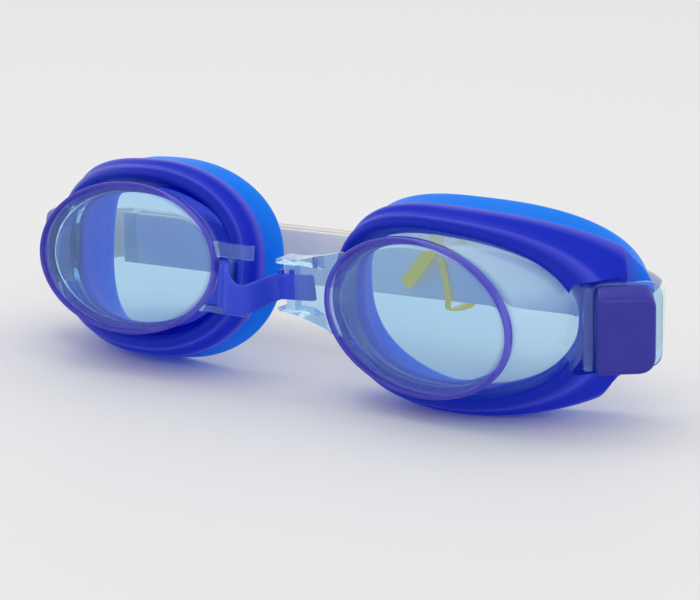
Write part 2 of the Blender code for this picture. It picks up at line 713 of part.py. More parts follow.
def clip_stations(side):
    """The headband's end: a tail inside the clip, then out through the arm's slot and past the seal."""
    middle = slot_middle()
    front = CLIP_WALL + 2.0 * PART_GAP + BAND_THICKNESS / 2.0
    arm = arm_front()
    back = arm + TEMPLE_ARM_THICKNESS
    route = ((0.3 * middle, front), (0.7 * middle, front + 0.1 * BAND_THICKNESS),
             (middle, front + 1.1 * BAND_THICKNESS), (middle, 0.5 * (arm + back)),
             (middle + 0.3 * SLOT_WIDTH, back + 0.6 * BAND_THICKNESS),
             (middle + 0.6 * SLOT_WIDTH, back + 1.9 * BAND_THICKNESS))
    return [upright(temple_point(s, q, BAND_LEVEL), side)[0] for s, q in route]


def fold_back(x, near, far, z):
    """Round turn of the band at one end of the hank, from the run at near to the run at far."""
    radius = 0.5 * (far - near)
    outwards = math.copysign(1.0, x)
    turn = []
    for k in range(FOLD_STEPS + 1):
        angle = math.pi * k / FOLD_STEPS
        turn.append((x + outwards * radius * math.sin(angle), near + radius * (1.0 - math.cos(angle)), z))
    return [(x - outwards * radius, near, z)] + turn + [(x - outwards * radius, far, z)]


def hank_route():
    """Middle line of the folded headband and of its lead to the left clip."""
    right = clip_stations(1.0)
    left = clip_stations(-1.0)[::-1]
    right_slot = right[-1]
    left_slot = left[0]
    deepest = max(upright(loop, 1.0)[:, 1].max() for loop in gasket_loops())
    passing = right_slot[0] - RIGHT_PASS
    right_end = right_slot[0] - RIGHT_INSET
    left_end = left_slot[0] + LEFT_INSET
    first = deepest + HANK_BEHIND
    second = first + RUN_PITCH
    third = second + RUN_PITCH
    z0, z1, z2, z3 = FOLD_HEIGHTS
    hank = right + [
        (passing, deepest, 0.7 * right_slot[2] + 0.3 * z0),
        (passing - 0.16 * RIGHT_INSET, 0.5 * (deepest + first), 0.3 * right_slot[2] + 0.7 * z0),
        (passing - 0.44 * RIGHT_INSET, first - 0.05 * RIGHT_INSET, z0),
        (right_end, first, z0),
        (0.0, first, 0.5 * (z0 + z1)),
    ]
    hank += fold_back(left_end, first, second, z1)
    hank.append((0.0, second, 0.5 * (z1 + z2)))
    hank += fold_back(right_end, second, third, z2)
    hank += [
        (0.0, third, 0.5 * (z2 + z3)),
        (left_end, third, z3),
    ]
    outer = left_slot[0] - LEFT_PASS
    lead = [
        (left_end - PART_GAP, third, z3),
        (left_end - 0.25 * RUN_PITCH, third, z3),
        (0.5 * (left_end + outer) - 0.25 * RUN_PITCH, third - 0.3 * RUN_PITCH, 0.9 * z3 + 0.1 * left_slot[2]),
        (outer, second, 0.7 * z3 + 0.3 * left_slot[2]),
        (outer, deepest, 0.3 * z3 + 0.7 * left_slot[2]),
    ] + left
    return hank, lead


def band_piece(name, route, parent, finish, clip_side, clip_at_start):
    """A stretch of headband on edge. Its width leans with the clip at the end that lies in one."""
    path = smooth_path(route, PATH_STEPS)
    clip_wide = turned((0.0, 1.0, 0.0), clip_side)
    share = np.zeros(len(path))
    held = 5 * PATH_STEPS
    share[:held] = np.linspace(1.6, 0.0, held)
    if not clip_at_start:
        share = share[::-1]
    share = np.clip(share, 0.0, 1.0)[:, None]
    wide = share * clip_wide + (1.0 - share) * np.array((0.0, 0.0, 1.0))
    vertices, faces = ribbon(path, wide, np.full(len(path), BAND_WIDTH), BAND_THICKNESS)
    return mesh_object(name, vertices, faces, parent, finish)


def least_gap(route):
    """Least clear gap between the folded runs, measured on points of the band's middle line."""
    path = smooth_path(route, PATH_STEPS)
    steps = np.linalg.norm(np.diff(path, axis=0), axis=1)
    along = np.concatenate(([0.0], np.cumsum(steps)))
    apart = np.linalg.norm(path[:, None] - path[None], axis=2)
    apart[np.abs(along[:, None] - along[None]) < 3.0 * RUN_PITCH] = np.inf
    return apart.min() - BAND_THICKNESS, along[-1]


def height_at(route, y, x):
    """Height of the band's middle where the run at this y passes this x."""
    run = sorted((p[0], p[2]) for p in route if abs(p[1] - y) < RUN_PITCH / 8.0)
    return float(np.interp(x, [p[0] for p in run], [p[1] for p in run]))


def strap_tie(hank, parent, finish):
    """Paper-covered wire: a flat leg in front, one turn round the folded runs, and a leg twisted thin."""
    third = hank[-1][1]
    second = third - RUN_PITCH
    first = second - RUN_PITCH
    half = BAND_WIDTH / 2.0
    off = BAND_THICKNESS / 2.0 + TIE_THICKNESS / 2.0 + TIE_GAP
    heights = [height_at(hank, y, TIE_X) for y in (first, second, third)]
    front = first - off
    legs = front - TIE_THICKNESS - 1.5 * TIE_GAP
    top = max(heights) + half + off
    low = min(heights) - half - off
    front_low = heights[0] - half - off
    foot = TIE_X + WIRE_LEG_REACH
    middle = TIE_X + 0.5 * WIRE_LEG_REACH
    route = [
        (TIE_X - FLAT_LEG_REACH, legs, top - FLAT_LEG_DROP),
        (TIE_X - 0.5 * FLAT_LEG_REACH, legs, top - 0.55 * FLAT_LEG_DROP),
        (TIE_X - 0.13 * FLAT_LEG_REACH, legs, top - 0.15 * FLAT_LEG_DROP),
        (TIE_X, front + 0.2 * off, top + off),
        (TIE_X, second, top + 0.2 * off),
        (TIE_X, third + off, heights[2] + half),
        (middle, third + off, heights[2]),
        (foot, third + 0.8 * off, low + 0.3 * off),
        (foot, second, low - 0.4 * off),
        (foot, front + 0.2 * off, front_low - 0.1 * off),
        (foot, front, heights[0] - half + off),
        (middle, front, heights[0]),
        (TIE_X + 0.2 * WIRE_LEG_REACH, front - 0.1 * off, heights[0] + 0.6 * half),
    ]
    path = smooth_path(route, PATH_STEPS - 1)
    at = np.arange(len(path)) / (PATH_STEPS - 1)
    lead_in = np.clip(1.0 - at / 3.0, 0.0, 1.0)[:, None]
    wide = between(np.array((1.0, 0.0, 0.0)), np.array((0.8, 0.0, 0.6)), lead_in)
    thin_share = np.clip(at - 8.0, 0.0, 1.0)
    widths = TIE_WIDTH + (TIE_WIRE_WIDTH - TIE_WIDTH) * thin_share
    vertices, faces = ribbon(path, squared(path, wide), widths, TIE_THICKNESS)
    return mesh_object("strap_tie", vertices, faces, parent, finish)


def world_bounds():
    """Lowest and highest corners of all finished pieces."""
    graph = bpy.context.evaluated_depsgraph_get()
    corners = []
    for obj in bpy.context.scene.objects:
        if obj.type == "MESH" and not obj.hide_render:
            seen = obj.evaluated_get(graph)
            corners += [seen.matrix_world @ v.co for v in seen.data.vertices]
    corners = np.array(corners)
    return corners.min(axis=0), corners.max(axis=0)


def build():
    clear_scene()
    clear_blue = material("clear_blue_polycarbonate", CLEAR_BLUE)
    seal_blue = material("soft_blue_seal", SEAL_BLUE)
    clip_blue = material("blue_clip", CLIP_BLUE)
    strap_blue = material("blue_bridge", STRAP_BLUE)
    band_grey = material("pale_band", BAND_GREY)
    tie_gold = material("gold_tie", TIE_GOLD)

    goggles = empty("goggles")
    right_place = tuple(upright((0.0, 0.0, 0.0), 1.0)[0])
    left_place = tuple(upright((-hinge_reach(), 0.0, HINGE_DEPTH), -1.0)[0])
    right = empty("right_eyecup", goggles, right_place, turn_x=-RIGHT_LEAN, turn_z=-RIGHT_TOE)
    left = empty("left_cup_fold", goggles, left_place, turn_x=-LEFT_LEAN, turn_z=LEFT_TOE)
    right_offset = (0.0, 0.0, 0.0)
    left_offset = (-hinge_reach(), -HINGE_DEPTH, 0.0)

    right_temple = temple_frame("right_temple", 1.0, right, right_offset)
    left_temple = temple_frame("left_temple", -1.0, left, left_offset)
    units = (("right", 1.0, right, right_offset, right_temple),
             ("left", -1.0, left, left_offset, left_temple))
    for label, side, parent, offset, frame in units:
        cup = lens_cup(f"{label}_lens_cup", side, parent, offset, clear_blue)
        temple_arm(cup, side, frame)
        if side > 0.0:
            right_belt_loop(cup, parent)
        else:
            left_bracket(cup, parent, offset)
        seal = gasket(f"{label}_gasket", side, parent, offset, seal_blue)
        gasket_notch(seal, side, frame)
        band_end(seal, side, frame)
        floor_flat(seal, goggles)
        temple_clip(f"{label}_temple_clip", side, frame, clip_blue)

    nose_bridge(goggles, strap_blue)
    hank, lead = hank_route()
    band_piece("headband", hank, goggles, band_grey, clip_side=1.0, clip_at_start=True)
    band_piece("headband_lead", lead, goggles, band_grey, clip_side=-1.0, clip_at_start=False)
    strap_tie(hank, goggles, tie_gold)
    gap, length = least_gap(hank)
    print(f"headband: {1000.0 * length:.0f} mm folded, least gap to itself {1000.0 * gap:.2f} mm")

    # The part's origin is under the middle of its outer box
    bpy.context.view_layer.update()
    low, high = world_bounds()
    goggles.location = (-0.5 * (low[0] + high[0]), -0.5 * (low[1] + high[1]), -low[2])
    bpy.context.view_layer.update()


build()
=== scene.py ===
import json
import math

import bpy
import numpy as np
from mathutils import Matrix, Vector

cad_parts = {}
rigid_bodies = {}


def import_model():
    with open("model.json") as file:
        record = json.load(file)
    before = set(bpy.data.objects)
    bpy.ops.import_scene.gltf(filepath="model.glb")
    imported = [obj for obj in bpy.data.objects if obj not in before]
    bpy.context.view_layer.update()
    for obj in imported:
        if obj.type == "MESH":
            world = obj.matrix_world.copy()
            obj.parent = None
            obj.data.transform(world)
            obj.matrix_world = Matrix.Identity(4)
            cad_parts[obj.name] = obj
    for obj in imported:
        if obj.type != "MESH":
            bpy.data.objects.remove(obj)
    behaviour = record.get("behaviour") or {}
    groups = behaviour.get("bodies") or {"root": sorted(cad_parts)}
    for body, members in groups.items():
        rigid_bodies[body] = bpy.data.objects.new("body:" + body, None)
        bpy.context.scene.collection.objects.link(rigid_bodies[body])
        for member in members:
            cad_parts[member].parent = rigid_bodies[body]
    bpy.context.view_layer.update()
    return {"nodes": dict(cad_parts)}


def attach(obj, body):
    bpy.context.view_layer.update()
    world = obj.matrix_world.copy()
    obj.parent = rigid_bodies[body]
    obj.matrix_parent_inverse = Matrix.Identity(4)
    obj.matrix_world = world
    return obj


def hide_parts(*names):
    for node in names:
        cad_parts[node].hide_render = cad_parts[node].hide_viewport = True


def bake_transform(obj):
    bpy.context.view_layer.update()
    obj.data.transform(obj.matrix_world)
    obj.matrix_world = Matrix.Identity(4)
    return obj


for old in list(bpy.data.objects):
    bpy.data.objects.remove(old, do_unlink=True)
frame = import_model()
print("frame loaded:", len(frame["nodes"]), "nodes")

# Lengths are in metres and angles in degrees. side is 1 for the right eyecup and -1 for the left one.
# An eyecup's own axes: u out to the temple, v up the lens, d back to the face, from the rim centre.

sides = ((1, "right"), (-1, "left"))

stand = {
    "spacing": 0.0717,  # between the rim centres
    "shift": (-0.00026, -0.023405),  # of the pair in the row frame
    "height": {1: 0.021424, -1: 0.024694},
    "lean": {1: -3.0, -1: 7.0},  # how far each top tips back
    "toe": {1: 5.2, -1: 3.7},  # how far each temple end turns forward
}

fine = {
    "around": 192, "corner": 4, "arc": 8,  # points round a cup, at a section's corner, at an outline's corner
    "path": 14, "fold": 6, "profile": 40,  # steps in a span of a path, in a fold and round a carried section
    "capSharp": 60.0, "joinSharp": 32.0,  # edges that turn by more stay sharp
}


def turnUnit(points, side):
    # toe turns u and d about the upright, lean then turns back and v about the row
    toe = math.radians(stand["toe"][side])
    lean = math.radians(stand["lean"][side])
    u, v, d = np.moveaxis(np.asarray(points, float), -1, 0)
    across = u * math.cos(toe) + d * math.sin(toe)
    back = d * math.cos(toe) - u * math.sin(toe)
    y = back * math.cos(lean) + v * math.sin(lean)
    z = v * math.cos(lean) - back * math.sin(lean)
    return np.stack((side * across, y, z), axis=-1)


def standUnit(points, side):
    # the turned point plus its rim centre
    x = side * stand["spacing"] / 2 + stand["shift"][0]
    return turnUnit(points, side) + np.array((x, stand["shift"][1], stand["height"][side]))


def unit(vectors):
    # each vector over its own length
    return vectors / np.linalg.norm(vectors, axis=-1, keepdims=True)


def between(first, second, share):
    # the rest of the first plus a share of the second
    return first * (1 - share) + second * share


def ovalRing(nose, temple, top, bottom, droop, fullness, corner):
    # each side's own reach times a power of cosine or sine, then turned by the droop;
    # corner is the fullness of the upper temple quarter
    angle = np.arange(fine["around"]) * (2 * math.pi / fine["around"])
    power = np.where(angle < math.pi / 2, 2 / corner, 2 / fullness)
    across = np.sign(np.cos(angle)) * np.abs(np.cos(angle)) ** power
    upward = np.sign(np.sin(angle)) * np.abs(np.sin(angle)) ** power
    u = np.where(across > 0, temple, nose) * across
    v = np.where(upward > 0, top, bottom) * upward
    turn = math.radians(-droop)
    return np.stack((u * math.cos(turn) - v * math.sin(turn),
                     u * math.sin(turn) + v * math.cos(turn), np.zeros_like(u)), axis=-1)


def grow(ring, outwards, back=0.0):
    # every point moves along the ring's own normal in the first two axes, and back in the third
    along = np.roll(ring, -1, axis=0) - np.roll(ring, 1, axis=0)
    normal = unit(np.stack((along[:, 1], -along[:, 0]), axis=-1))
    return ring + np.column_stack((outwards * normal, np.full(len(ring), back)))


def roundSection(corners, closed):
    # corners are rings with a share each: a parabola between points that share of the way to its neighbours
    rings = np.asarray([ring for ring, share in corners])
    shares = np.asarray([share for ring, share in corners])[:, None, None]
    start = rings + shares * (np.roll(rings, 1, axis=0) - rings)
    end = rings + shares * (np.roll(rings, -1, axis=0) - rings)
    t = (np.arange(fine["corner"]) + 0.5) / fine["corner"]
    s = t[None, :, None, None]
    rows = (1 - s) ** 2 * start[:, None] + 2 * s * (1 - s) * rings[:, None] + s ** 2 * end[:, None]
    station = np.arange(len(rings))[:, None] + (t - 0.5) * 2 * shares[:, 0]
    rows = rows.reshape(-1, *rings.shape[1:])
    station = station.ravel()
    if not closed:
        inner = slice(fine["corner"], -fine["corner"])
        rows = np.concatenate((rings[:1], rows[inner], rings[-1:]))
        station = np.concatenate(([0.0], station[inner], [len(rings) - 1.0]))
    return rows, station / len(rings)


def roundOutline(points, radius):
    # each corner of a flat outline is a parabola that starts and ends a radius away from it
    points = np.asarray(points, float)
    radius = np.broadcast_to(radius, len(points))[:, None, None]
    before = unit(np.roll(points, 1, axis=0) - points)[:, None]
    after = unit(np.roll(points, -1, axis=0) - points)[:, None]
    t = ((np.arange(fine["arc"]) + 0.5) / fine["arc"])[None, :, None]
    corner = points[:, None]
    curve = ((1 - t) ** 2 * (corner + radius * before) + 2 * t * (1 - t) * corner
             + t ** 2 * (corner + radius * after))
    flat = curve.reshape(-1, 2)
    return np.column_stack((flat, np.zeros(len(flat))))


def rectangle(left, right, low, high):
    # the four corners, anticlockwise from the lower left
    return ((left, low), (right, low), (right, high), (left, high))


def smoothPath(points):
    # Catmull-Rom: a cubic through every point with slopes from its neighbours
    points = np.asarray(points, float)
    padded = np.vstack((2 * points[0] - points[1], points, 2 * points[-1] - points[-2]))
    a, b, c, d = (padded[k:len(padded) - 3 + k, None] for k in range(4))
    t = (np.arange(fine["path"]) / fine["path"])[None, :, None]
    spans = 0.5 * (2 * b + (c - a) * t + (2 * a - 5 * b + 4 * c - d) * t ** 2
                   + (3 * b - a - 3 * c + d) * t ** 3)
    return np.vstack((spans.reshape(-1, 3), points[-1:]))


def gridObject(name, rows, station=None, joinEnds=False):
    # quads between neighbouring rows; columns always close, rows close when joined, else each end gets a cap
    count, around = rows.shape[:2]
    spans = count if joinEnds else count - 1
    if station is None:
        station = np.arange(count) / max(count - 1, 1)
    r, c = np.meshgrid(np.arange(spans), np.arange(around), indexing="ij")
    cornerRow = np.stack((r, r, r + 1, r + 1), axis=-1).reshape(-1, 4)
    cornerColumn = np.stack((c, c + 1, c + 1, c), axis=-1).reshape(-1, 4)
    quads = (cornerRow % count) * around + cornerColumn % around
    vertices = rows.reshape(-1, 3)
    p = (vertices - vertices.mean(axis=0))[quads]
    volume = np.sum(np.cross(p[:, 0], p[:, 1]) * p[:, 2]) + np.sum(np.cross(p[:, 0], p[:, 2]) * p[:, 3])
    stationRow = np.append(station, 1 + station[0] if joinEnds else station[-1])
    uv = np.stack((cornerColumn / around, stationRow[cornerRow]), axis=-1)
    if volume < 0:  # turned round, so that faces point outwards
        quads, uv = quads[:, ::-1], uv[:, ::-1]
    faces = quads.tolist()
    uv = uv.reshape(-1, 2)
    if not joinEnds:
        first = np.arange(around)
        last = (count - 1) * around + first
        caps = (first, last[::-1]) if volume < 0 else (first[::-1], last)
        faces += [cap.tolist() for cap in caps]
        uv = np.vstack((uv, *(np.tile((0.5, at), (around, 1)) for at in station[[0, -1]])))
    mesh = bpy.data.meshes.new(name)
    mesh.from_pydata(vertices.tolist(), [], faces)
    mesh.uv_layers.new(name="UVMap").data.foreach_set("uv", uv.astype(np.float32).ravel())
    mesh.shade_smooth()
    if not joinEnds:
        mesh.set_sharp_from_angle(angle=math.radians(fine["capSharp"]))
    made = bpy.data.objects.new(name, mesh)
    bpy.context.scene.collection.objects.link(made)
    return made


blockLook = {"at": 0.58, "over": 0.01}  # the stations that a block takes for its colour


def blockObject(name, outline, low, high, edge, place, at=blockLook["at"]):
    # a flat outline carried from low to high, with both rims rounded by the edge
    corners = [
        (grow(outline, -2 * edge, low), 0),
        (grow(outline, 0, low), 0.5),
        (grow(outline, 0, low + 2 * edge), 0.2),
        (grow(outline, 0, high - 2 * edge), 0.2),
        (grow(outline, 0, high), 0.5),
        (grow(outline, -2 * edge, high), 0),
    ]
    rows, station = roundSection(corners, closed=False)
    return gridObject(name, place(rows), at + blockLook["over"] * station)


def combine(target, tool, operation):
    # the target with the tool added or cut away, as a new mesh; the tool is used up
    step = target.modifiers.new("combine", "BOOLEAN")
    step.operation = operation
    step.solver = "EXACT"
    step.object = tool
    bpy.context.view_layer.update()
    graph = bpy.context.evaluated_depsgraph_get()
    made = bpy.data.meshes.new_from_object(target.evaluated_get(graph), preserve_all_data_layers=True,
                                           depsgraph=graph)
    target.modifiers.clear()
    spent = (target.data, tool.data)
    target.data = made
    bpy.data.objects.remove(tool)
    for mesh in spent:
        bpy.data.meshes.remove(mesh)
    made.name = target.name
    made.shade_smooth()
    made.set_sharp_from_angle(angle=math.radians(fine["joinSharp"]))


flatSection = {"widthPower": 0.55, "thickPower": 0.32, "ridgeOver": 0.22, "leastEnd": 0.02}


def profileAngle():
    # equal steps round a section, from half a step
    return (np.arange(fine["profile"]) + 0.5) * (2 * math.pi / fine["profile"])


def carry(path, wide, widths, thicknesses, ridge=0.0):
    # a superellipse section, width along wide and thickness square to it, carried along the path;
    # ridge is a bell curve that thickens its middle by that share
    along = unit(np.gradient(path, axis=0))
    wide = unit(wide - along * np.sum(wide * along, axis=-1, keepdims=True))
    thin = np.cross(along, wide)
    angle = profileAngle()
    a = np.sign(np.cos(angle)) * np.abs(np.cos(angle)) ** flatSection["widthPower"]
    b = np.sign(np.sin(angle)) * np.abs(np.sin(angle)) ** flatSection["thickPower"]
    b = b * (1 + ridge * np.exp(-(a / flatSection["ridgeOver"]) ** 2))
    half = 0.5 * np.asarray(widths)[:, None, None]
    thick = 0.5 * np.asarray(thicknesses)[:, None, None]
    return path[:, None] + half * a[None, :, None] * wide[:, None] + thick * b[None, :, None] * thin[:, None]


def endTaper(path, reach):
    # thickness share near both ends: a quarter ellipse over the reach
    steps = np.linalg.norm(np.diff(path, axis=0), axis=1)
    along = np.concatenate(([0.0], np.cumsum(steps)))
    near = np.clip(np.minimum(along, along[-1] - along) / reach, 0, 1)
    return np.sqrt(np.clip(1 - (1 - near) ** 2, flatSection["leastEnd"], 1))


# Lens cups

cup = {
    "rimLength": 0.0225, "rimHeight": 0.0161, "rimDroop": 1.2, "rimFullness": 2.0,
    "rimWidth": 0.0011, "rimProud": 0.0009, "rimDepth": 0.0013, "rimStep": 0.0007,
    "lens": 0.0017, "crown": 0.0002, "wall": 0.0014,
    "lensRings": (0.01, 0.3, 0.6, 0.85),  # shares of the lens, from its middle
    "base": (0.0222, 0.0273, 0.0162, 0.0167),  # reach to nose, temple, top and bottom
    "baseDepth": (0.0067, 0.0066, 0.0166),  # at the nose, in the middle and at the temple
    "flangeWidth": 0.0018, "flange": 0.0014,
}

seal = {
    "ridge": (0.0264, 0.0385, 0.0206, 0.0218),
    "ridgeDepth": (0.0112, 0.0095, 0.0326), "ridgeWidth": 0.0018,
    "lip": (0.0279, 0.0313, 0.0208, 0.0229), "lipFullness": 2.5,
    "lipDepth": (0.0177, 0.0188, 0.0357), "lipThickness": 0.0012, "lipFace": 0.0034,
    "lipSwell": (0.0032, 243.0, 38.0),  # wider face at the lower nose: by, at and over
    "waistAt": 0.35, "waistInset": 0.0016, "flareAt": 0.75,
    "wall": 0.0030, "step": 0.0008,
    "groove": ((0.32, -1.0), (0.42, -0.5), (0.46, 0.5), (0.84, -0.5)),  # share towards the ridge, steps back
    "bandEnd": (0.0070, 0.0104), "lipShoulder": (0.0130, 0.0136), "endRound": 0.0009,
    "shoulderStep": 0.0010, "lipFree": 0.05,
    "slopeBelow": -0.0095, "endSlope": 0.6,  # under this level the end runs in towards the nose
    "droop": 2.8, "fullness": 2.3, "gap": 0.00035,
    "notchCorners": (0.0026, 0.0008, 0.0008, 0.0026), "notchEdge": 0.0002,
    "cutAt": 0.05,  # the station that cut faces take for their colour
}


def sealRing(reach, depths, corner=seal["fullness"]):
    # a seal outline whose depth is the parabola through three depths along u
    ring = ovalRing(*reach, seal["droop"], seal["fullness"], corner)
    nose, temple = reach[:2]
    slope, curve = np.linalg.solve([[-nose, nose ** 2], [temple, temple ** 2]],
                                   [depths[0] - depths[1], depths[2] - depths[1]])
    ring[:, 2] = depths[1] + slope * ring[:, 0] + curve * ring[:, 0] ** 2
    return ring


def rimRing(inset, depth):
    # the rim's ellipse, drawn in by the inset, at a depth
    length, height = cup["rimLength"] - inset, cup["rimHeight"] - inset
    full = cup["rimFullness"]
    return ovalRing(length, length, height, height, cup["rimDroop"], full, full) + np.array((0, 0, depth))


def shrunk(ring, share, crown):
    # the ring drawn in towards its centre, with a crown that falls off with the square of the share
    return ring * np.array((share, share, 1)) - np.array((0, 0, crown * (1 - share ** 2)))


def lensShell(name, side):
    # one section from the lens's face over the rim, wall and flange to the lens's back, carried round
    base = sealRing(cup["base"], cup["baseDepth"])
    start = rimRing(cup["rimStep"], cup["rimDepth"])
    face = rimRing(cup["rimWidth"], 0.0)
    inside = rimRing(cup["rimStep"] + cup["wall"], cup["lens"])
    innerBase = grow(base, -cup["wall"])
    width, proud = cup["rimWidth"], cup["rimProud"]
    corners = [(shrunk(face, share, cup["crown"]), 0.5) for share in cup["lensRings"]]
    corners += [
        (face, 0.3),
        (rimRing(0.8 * width, -proud), 0.4),
        (rimRing(0.2 * width, -proud), 0.5),
        (rimRing(0.0, -0.6 * proud), 0.4),
        (rimRing(0.0, 0.7 * cup["rimDepth"]), 0.4),
        (start, 0.35),
        (between(start, base, 0.35), 0.5),
        (between(start, base, 0.72), 0.5),
        (base, 0.25),
        (grow(base, cup["flangeWidth"]), 0.3),
        (grow(base, cup["flangeWidth"], cup["flange"]), 0.3),
        (grow(innerBase, 0.0, cup["flange"]), 0.2),
        (innerBase, 0.3),
        (between(inside, innerBase, 0.6), 0.5),
        (inside, 0.3),
    ]
    corners += [(shrunk(inside, share, cup["crown"]), 0.5) for share in cup["lensRings"][::-1]]
    rows, station = roundSection(corners, closed=False)
    return gridObject(name, standUnit(rows, side), station)


clip = {
    "out": {1: 0.0318, -1: 0.0298}, "depth": 0.0152, "sweep": 40.0,
    "length": 0.0117, "top": 0.0049, "bottom": -0.0104, "thickness": 0.0034,
    "wall": 0.0010, "softEdge": 0.0009, "topSlope": 0.0018,
    "faceInset": 0.0042, "pocketSide": 0.0016, "pocketInset": 0.0014,
    "corners": (0.0014, 0.0036, 0.0026, 0.0012),  # lower inner, lower outer, upper outer, upper inner
}

arm = {
    "thickness": 0.0015, "rise": 0.0022, "inset": 0.0002, "overhang": 0.0018,
    "rootIn": 0.0022, "rootFront": 0.0016, "rootCorner": 0.0006, "rootEdge": 0.0002,
    "gap": 0.0003, "edge": 0.0003, "plateCorner": 0.00338,
    "slotWidth": 0.0034, "slotFromEnd": 0.0022, "slotCorner": 0.0007, "slotEdge": 0.0001, "cutPast": 0.0010,
    "notchInner": 0.0050, "notchRoom": 0.0006,
}

band = {
    "width": 0.0120, "thickness": 0.0012, "level": -0.0027, "pitch": 0.0036,
    "endRound": 0.0008, "endNarrow": 0.04,
    "sealBack": 0.01056, "behind": 0.0070, "rightPass": 0.0018, "leftPass": 0.0023,
    "rightInset": 0.0172, "leftInset": 0.0058,
    "heights": (0.0216, 0.0183, 0.0211, 0.0178),  # middle of the band at the ends of its three runs
    "leanKept": 1.6, "leanSpans": 4.8,  # the clip's lean is gone past these spans
    "leadSplit": 2, "leadHeld": 6,  # points of the lead where its pieces meet and where it is held
}

armFront = clip["thickness"] + arm["gap"]
armBack = armFront + arm["thickness"]
slotMiddle = clip["length"] + arm["overhang"] - arm["slotFromEnd"] - arm["slotWidth"] / 2


def standTemple(points, side):
    # (s out along the arm, v up, q back from the clip's face), turned by the sweep
    sweep = math.radians(clip["sweep"])
    s, v, q = np.moveaxis(np.asarray(points, float), -1, 0)
    u = clip["out"][side] + s * math.cos(sweep) - q * math.sin(sweep)
    d = clip["depth"] + s * math.sin(sweep) + q * math.cos(sweep)
    return standUnit(np.stack((u, v, d), axis=-1), side)


def templeBlock(name, side, outline, low, high, edge, at=blockLook["at"]):
    # an outline in s and v, carried along q
    return blockObject(name, outline, low, high, edge, lambda rows: standTemple(rows, side), at)


def addTempleArm(shell, side):
    # a root block that ends a gap short of the clip, a round-ended plate and the band's slot through it
    gap, past = arm["gap"], arm["cutPast"]
    low = clip["bottom"] + arm["inset"]
    high = clip["top"] + arm["rise"]
    end = clip["length"] + arm["overhang"]
    rootSide = roundOutline(rectangle(-arm["rootIn"], -gap, low + gap, high - gap), arm["rootCorner"])
    root = templeBlock("root", side, rootSide, arm["rootFront"], armBack - gap, arm["rootEdge"])
    combine(shell, root, "UNION")
    plateSide = roundOutline(rectangle(-arm["rootIn"] / 2, end, low, high), arm["plateCorner"])
    combine(shell, templeBlock("plate", side, plateSide, armFront, armBack, arm["edge"]), "UNION")
    half = band["width"] / 2 + 2 * gap
    slotSide = roundOutline(rectangle(slotMiddle - arm["slotWidth"] / 2, slotMiddle + arm["slotWidth"] / 2,
                                      band["level"] - half, band["level"] + half), arm["slotCorner"])
    slot = templeBlock("slot", side, slotSide, armFront - past, armBack + past, arm["slotEdge"])
    combine(shell, slot, "DIFFERENCE")


strap = {
    "thickness": 0.0013, "leftWidth": 0.0074, "rightWidth": 0.0054, "endRound": 0.0008, "endNarrow": 0.1,
    "bow": 0.0028, "sag": 0.0016, "tip": 0.0271, "level": 0.0014, "tilt": 0.0010, "leave": 0.0008,
    "bowPoints": (((0.30, 0.0, 0.20), 1.0, 0.6),  # shares of the span, of the bow and of the sag
                  ((0.62, 0.2, 0.60), 0.8, 1.0)),
    "shoulder": 0.0020, "shoulderOver": 0.45,  # taller top edge at the hinge, and the share it falls over
    "toothPitch": 0.0030, "toothHeight": 0.0009, "toothLength": 0.0012, "toothFirst": 0.0332, "teeth": 2,
    "toothHalf": 0.4, "toothCorner": 0.0003, "toothEdge": 0.0001,  # toothHalf: share of thickness
    "loopTail": 20.0, "loopFront": 270.0, "loopPoints": 49, "tipPoints": 16,
}

bracket = {
    "hingeOut": 0.0252, "hingeDepth": 0.0010, "hingeRadius": 0.0009, "hingeLevel": -0.0035,
    "hingeGap": 0.0003, "barSides": 32, "barEdge": 0.00008,
    "reach": 0.0300, "top": 0.0058, "lug": 0.0014, "topLug": 0.0030, "front": 0.0001, "back": 0.0026,
    "lugCorner": 0.0005, "lugEdge": 0.00015,
}

loop = {
    "reach": 0.0358, "root": 0.0175, "rootHalf": 0.0094, "half": 0.0057, "shoulder": 0.0308,
    "rail": 0.0012, "lowRail": 0.0007, "bar": 0.0031, "plate": 0.0013, "front": 0.0002,
    "clearance": 0.0003, "stop": 0.0236, "reliefHalf": 0.02,
    "corners": (0.0020, 0.0020, 0.0025, 0.0012, 0.0012, 0.0025), "edge": 0.00025,
    "cutCorner": 0.0002, "cutEdge": 0.00003,
}

faceAxes = [0, 1, 2]  # an outline in u and v, carried back
planAxes = [0, 2, 1]  # an outline in u and d, carried up


def unitBlock(name, side, outline, low, high, edge, axes):
    # axes says which of u, v and d the outline's two axes and its carry run along
    return blockObject(name, outline, low, high, edge, lambda rows: standUnit(rows[..., axes], side))


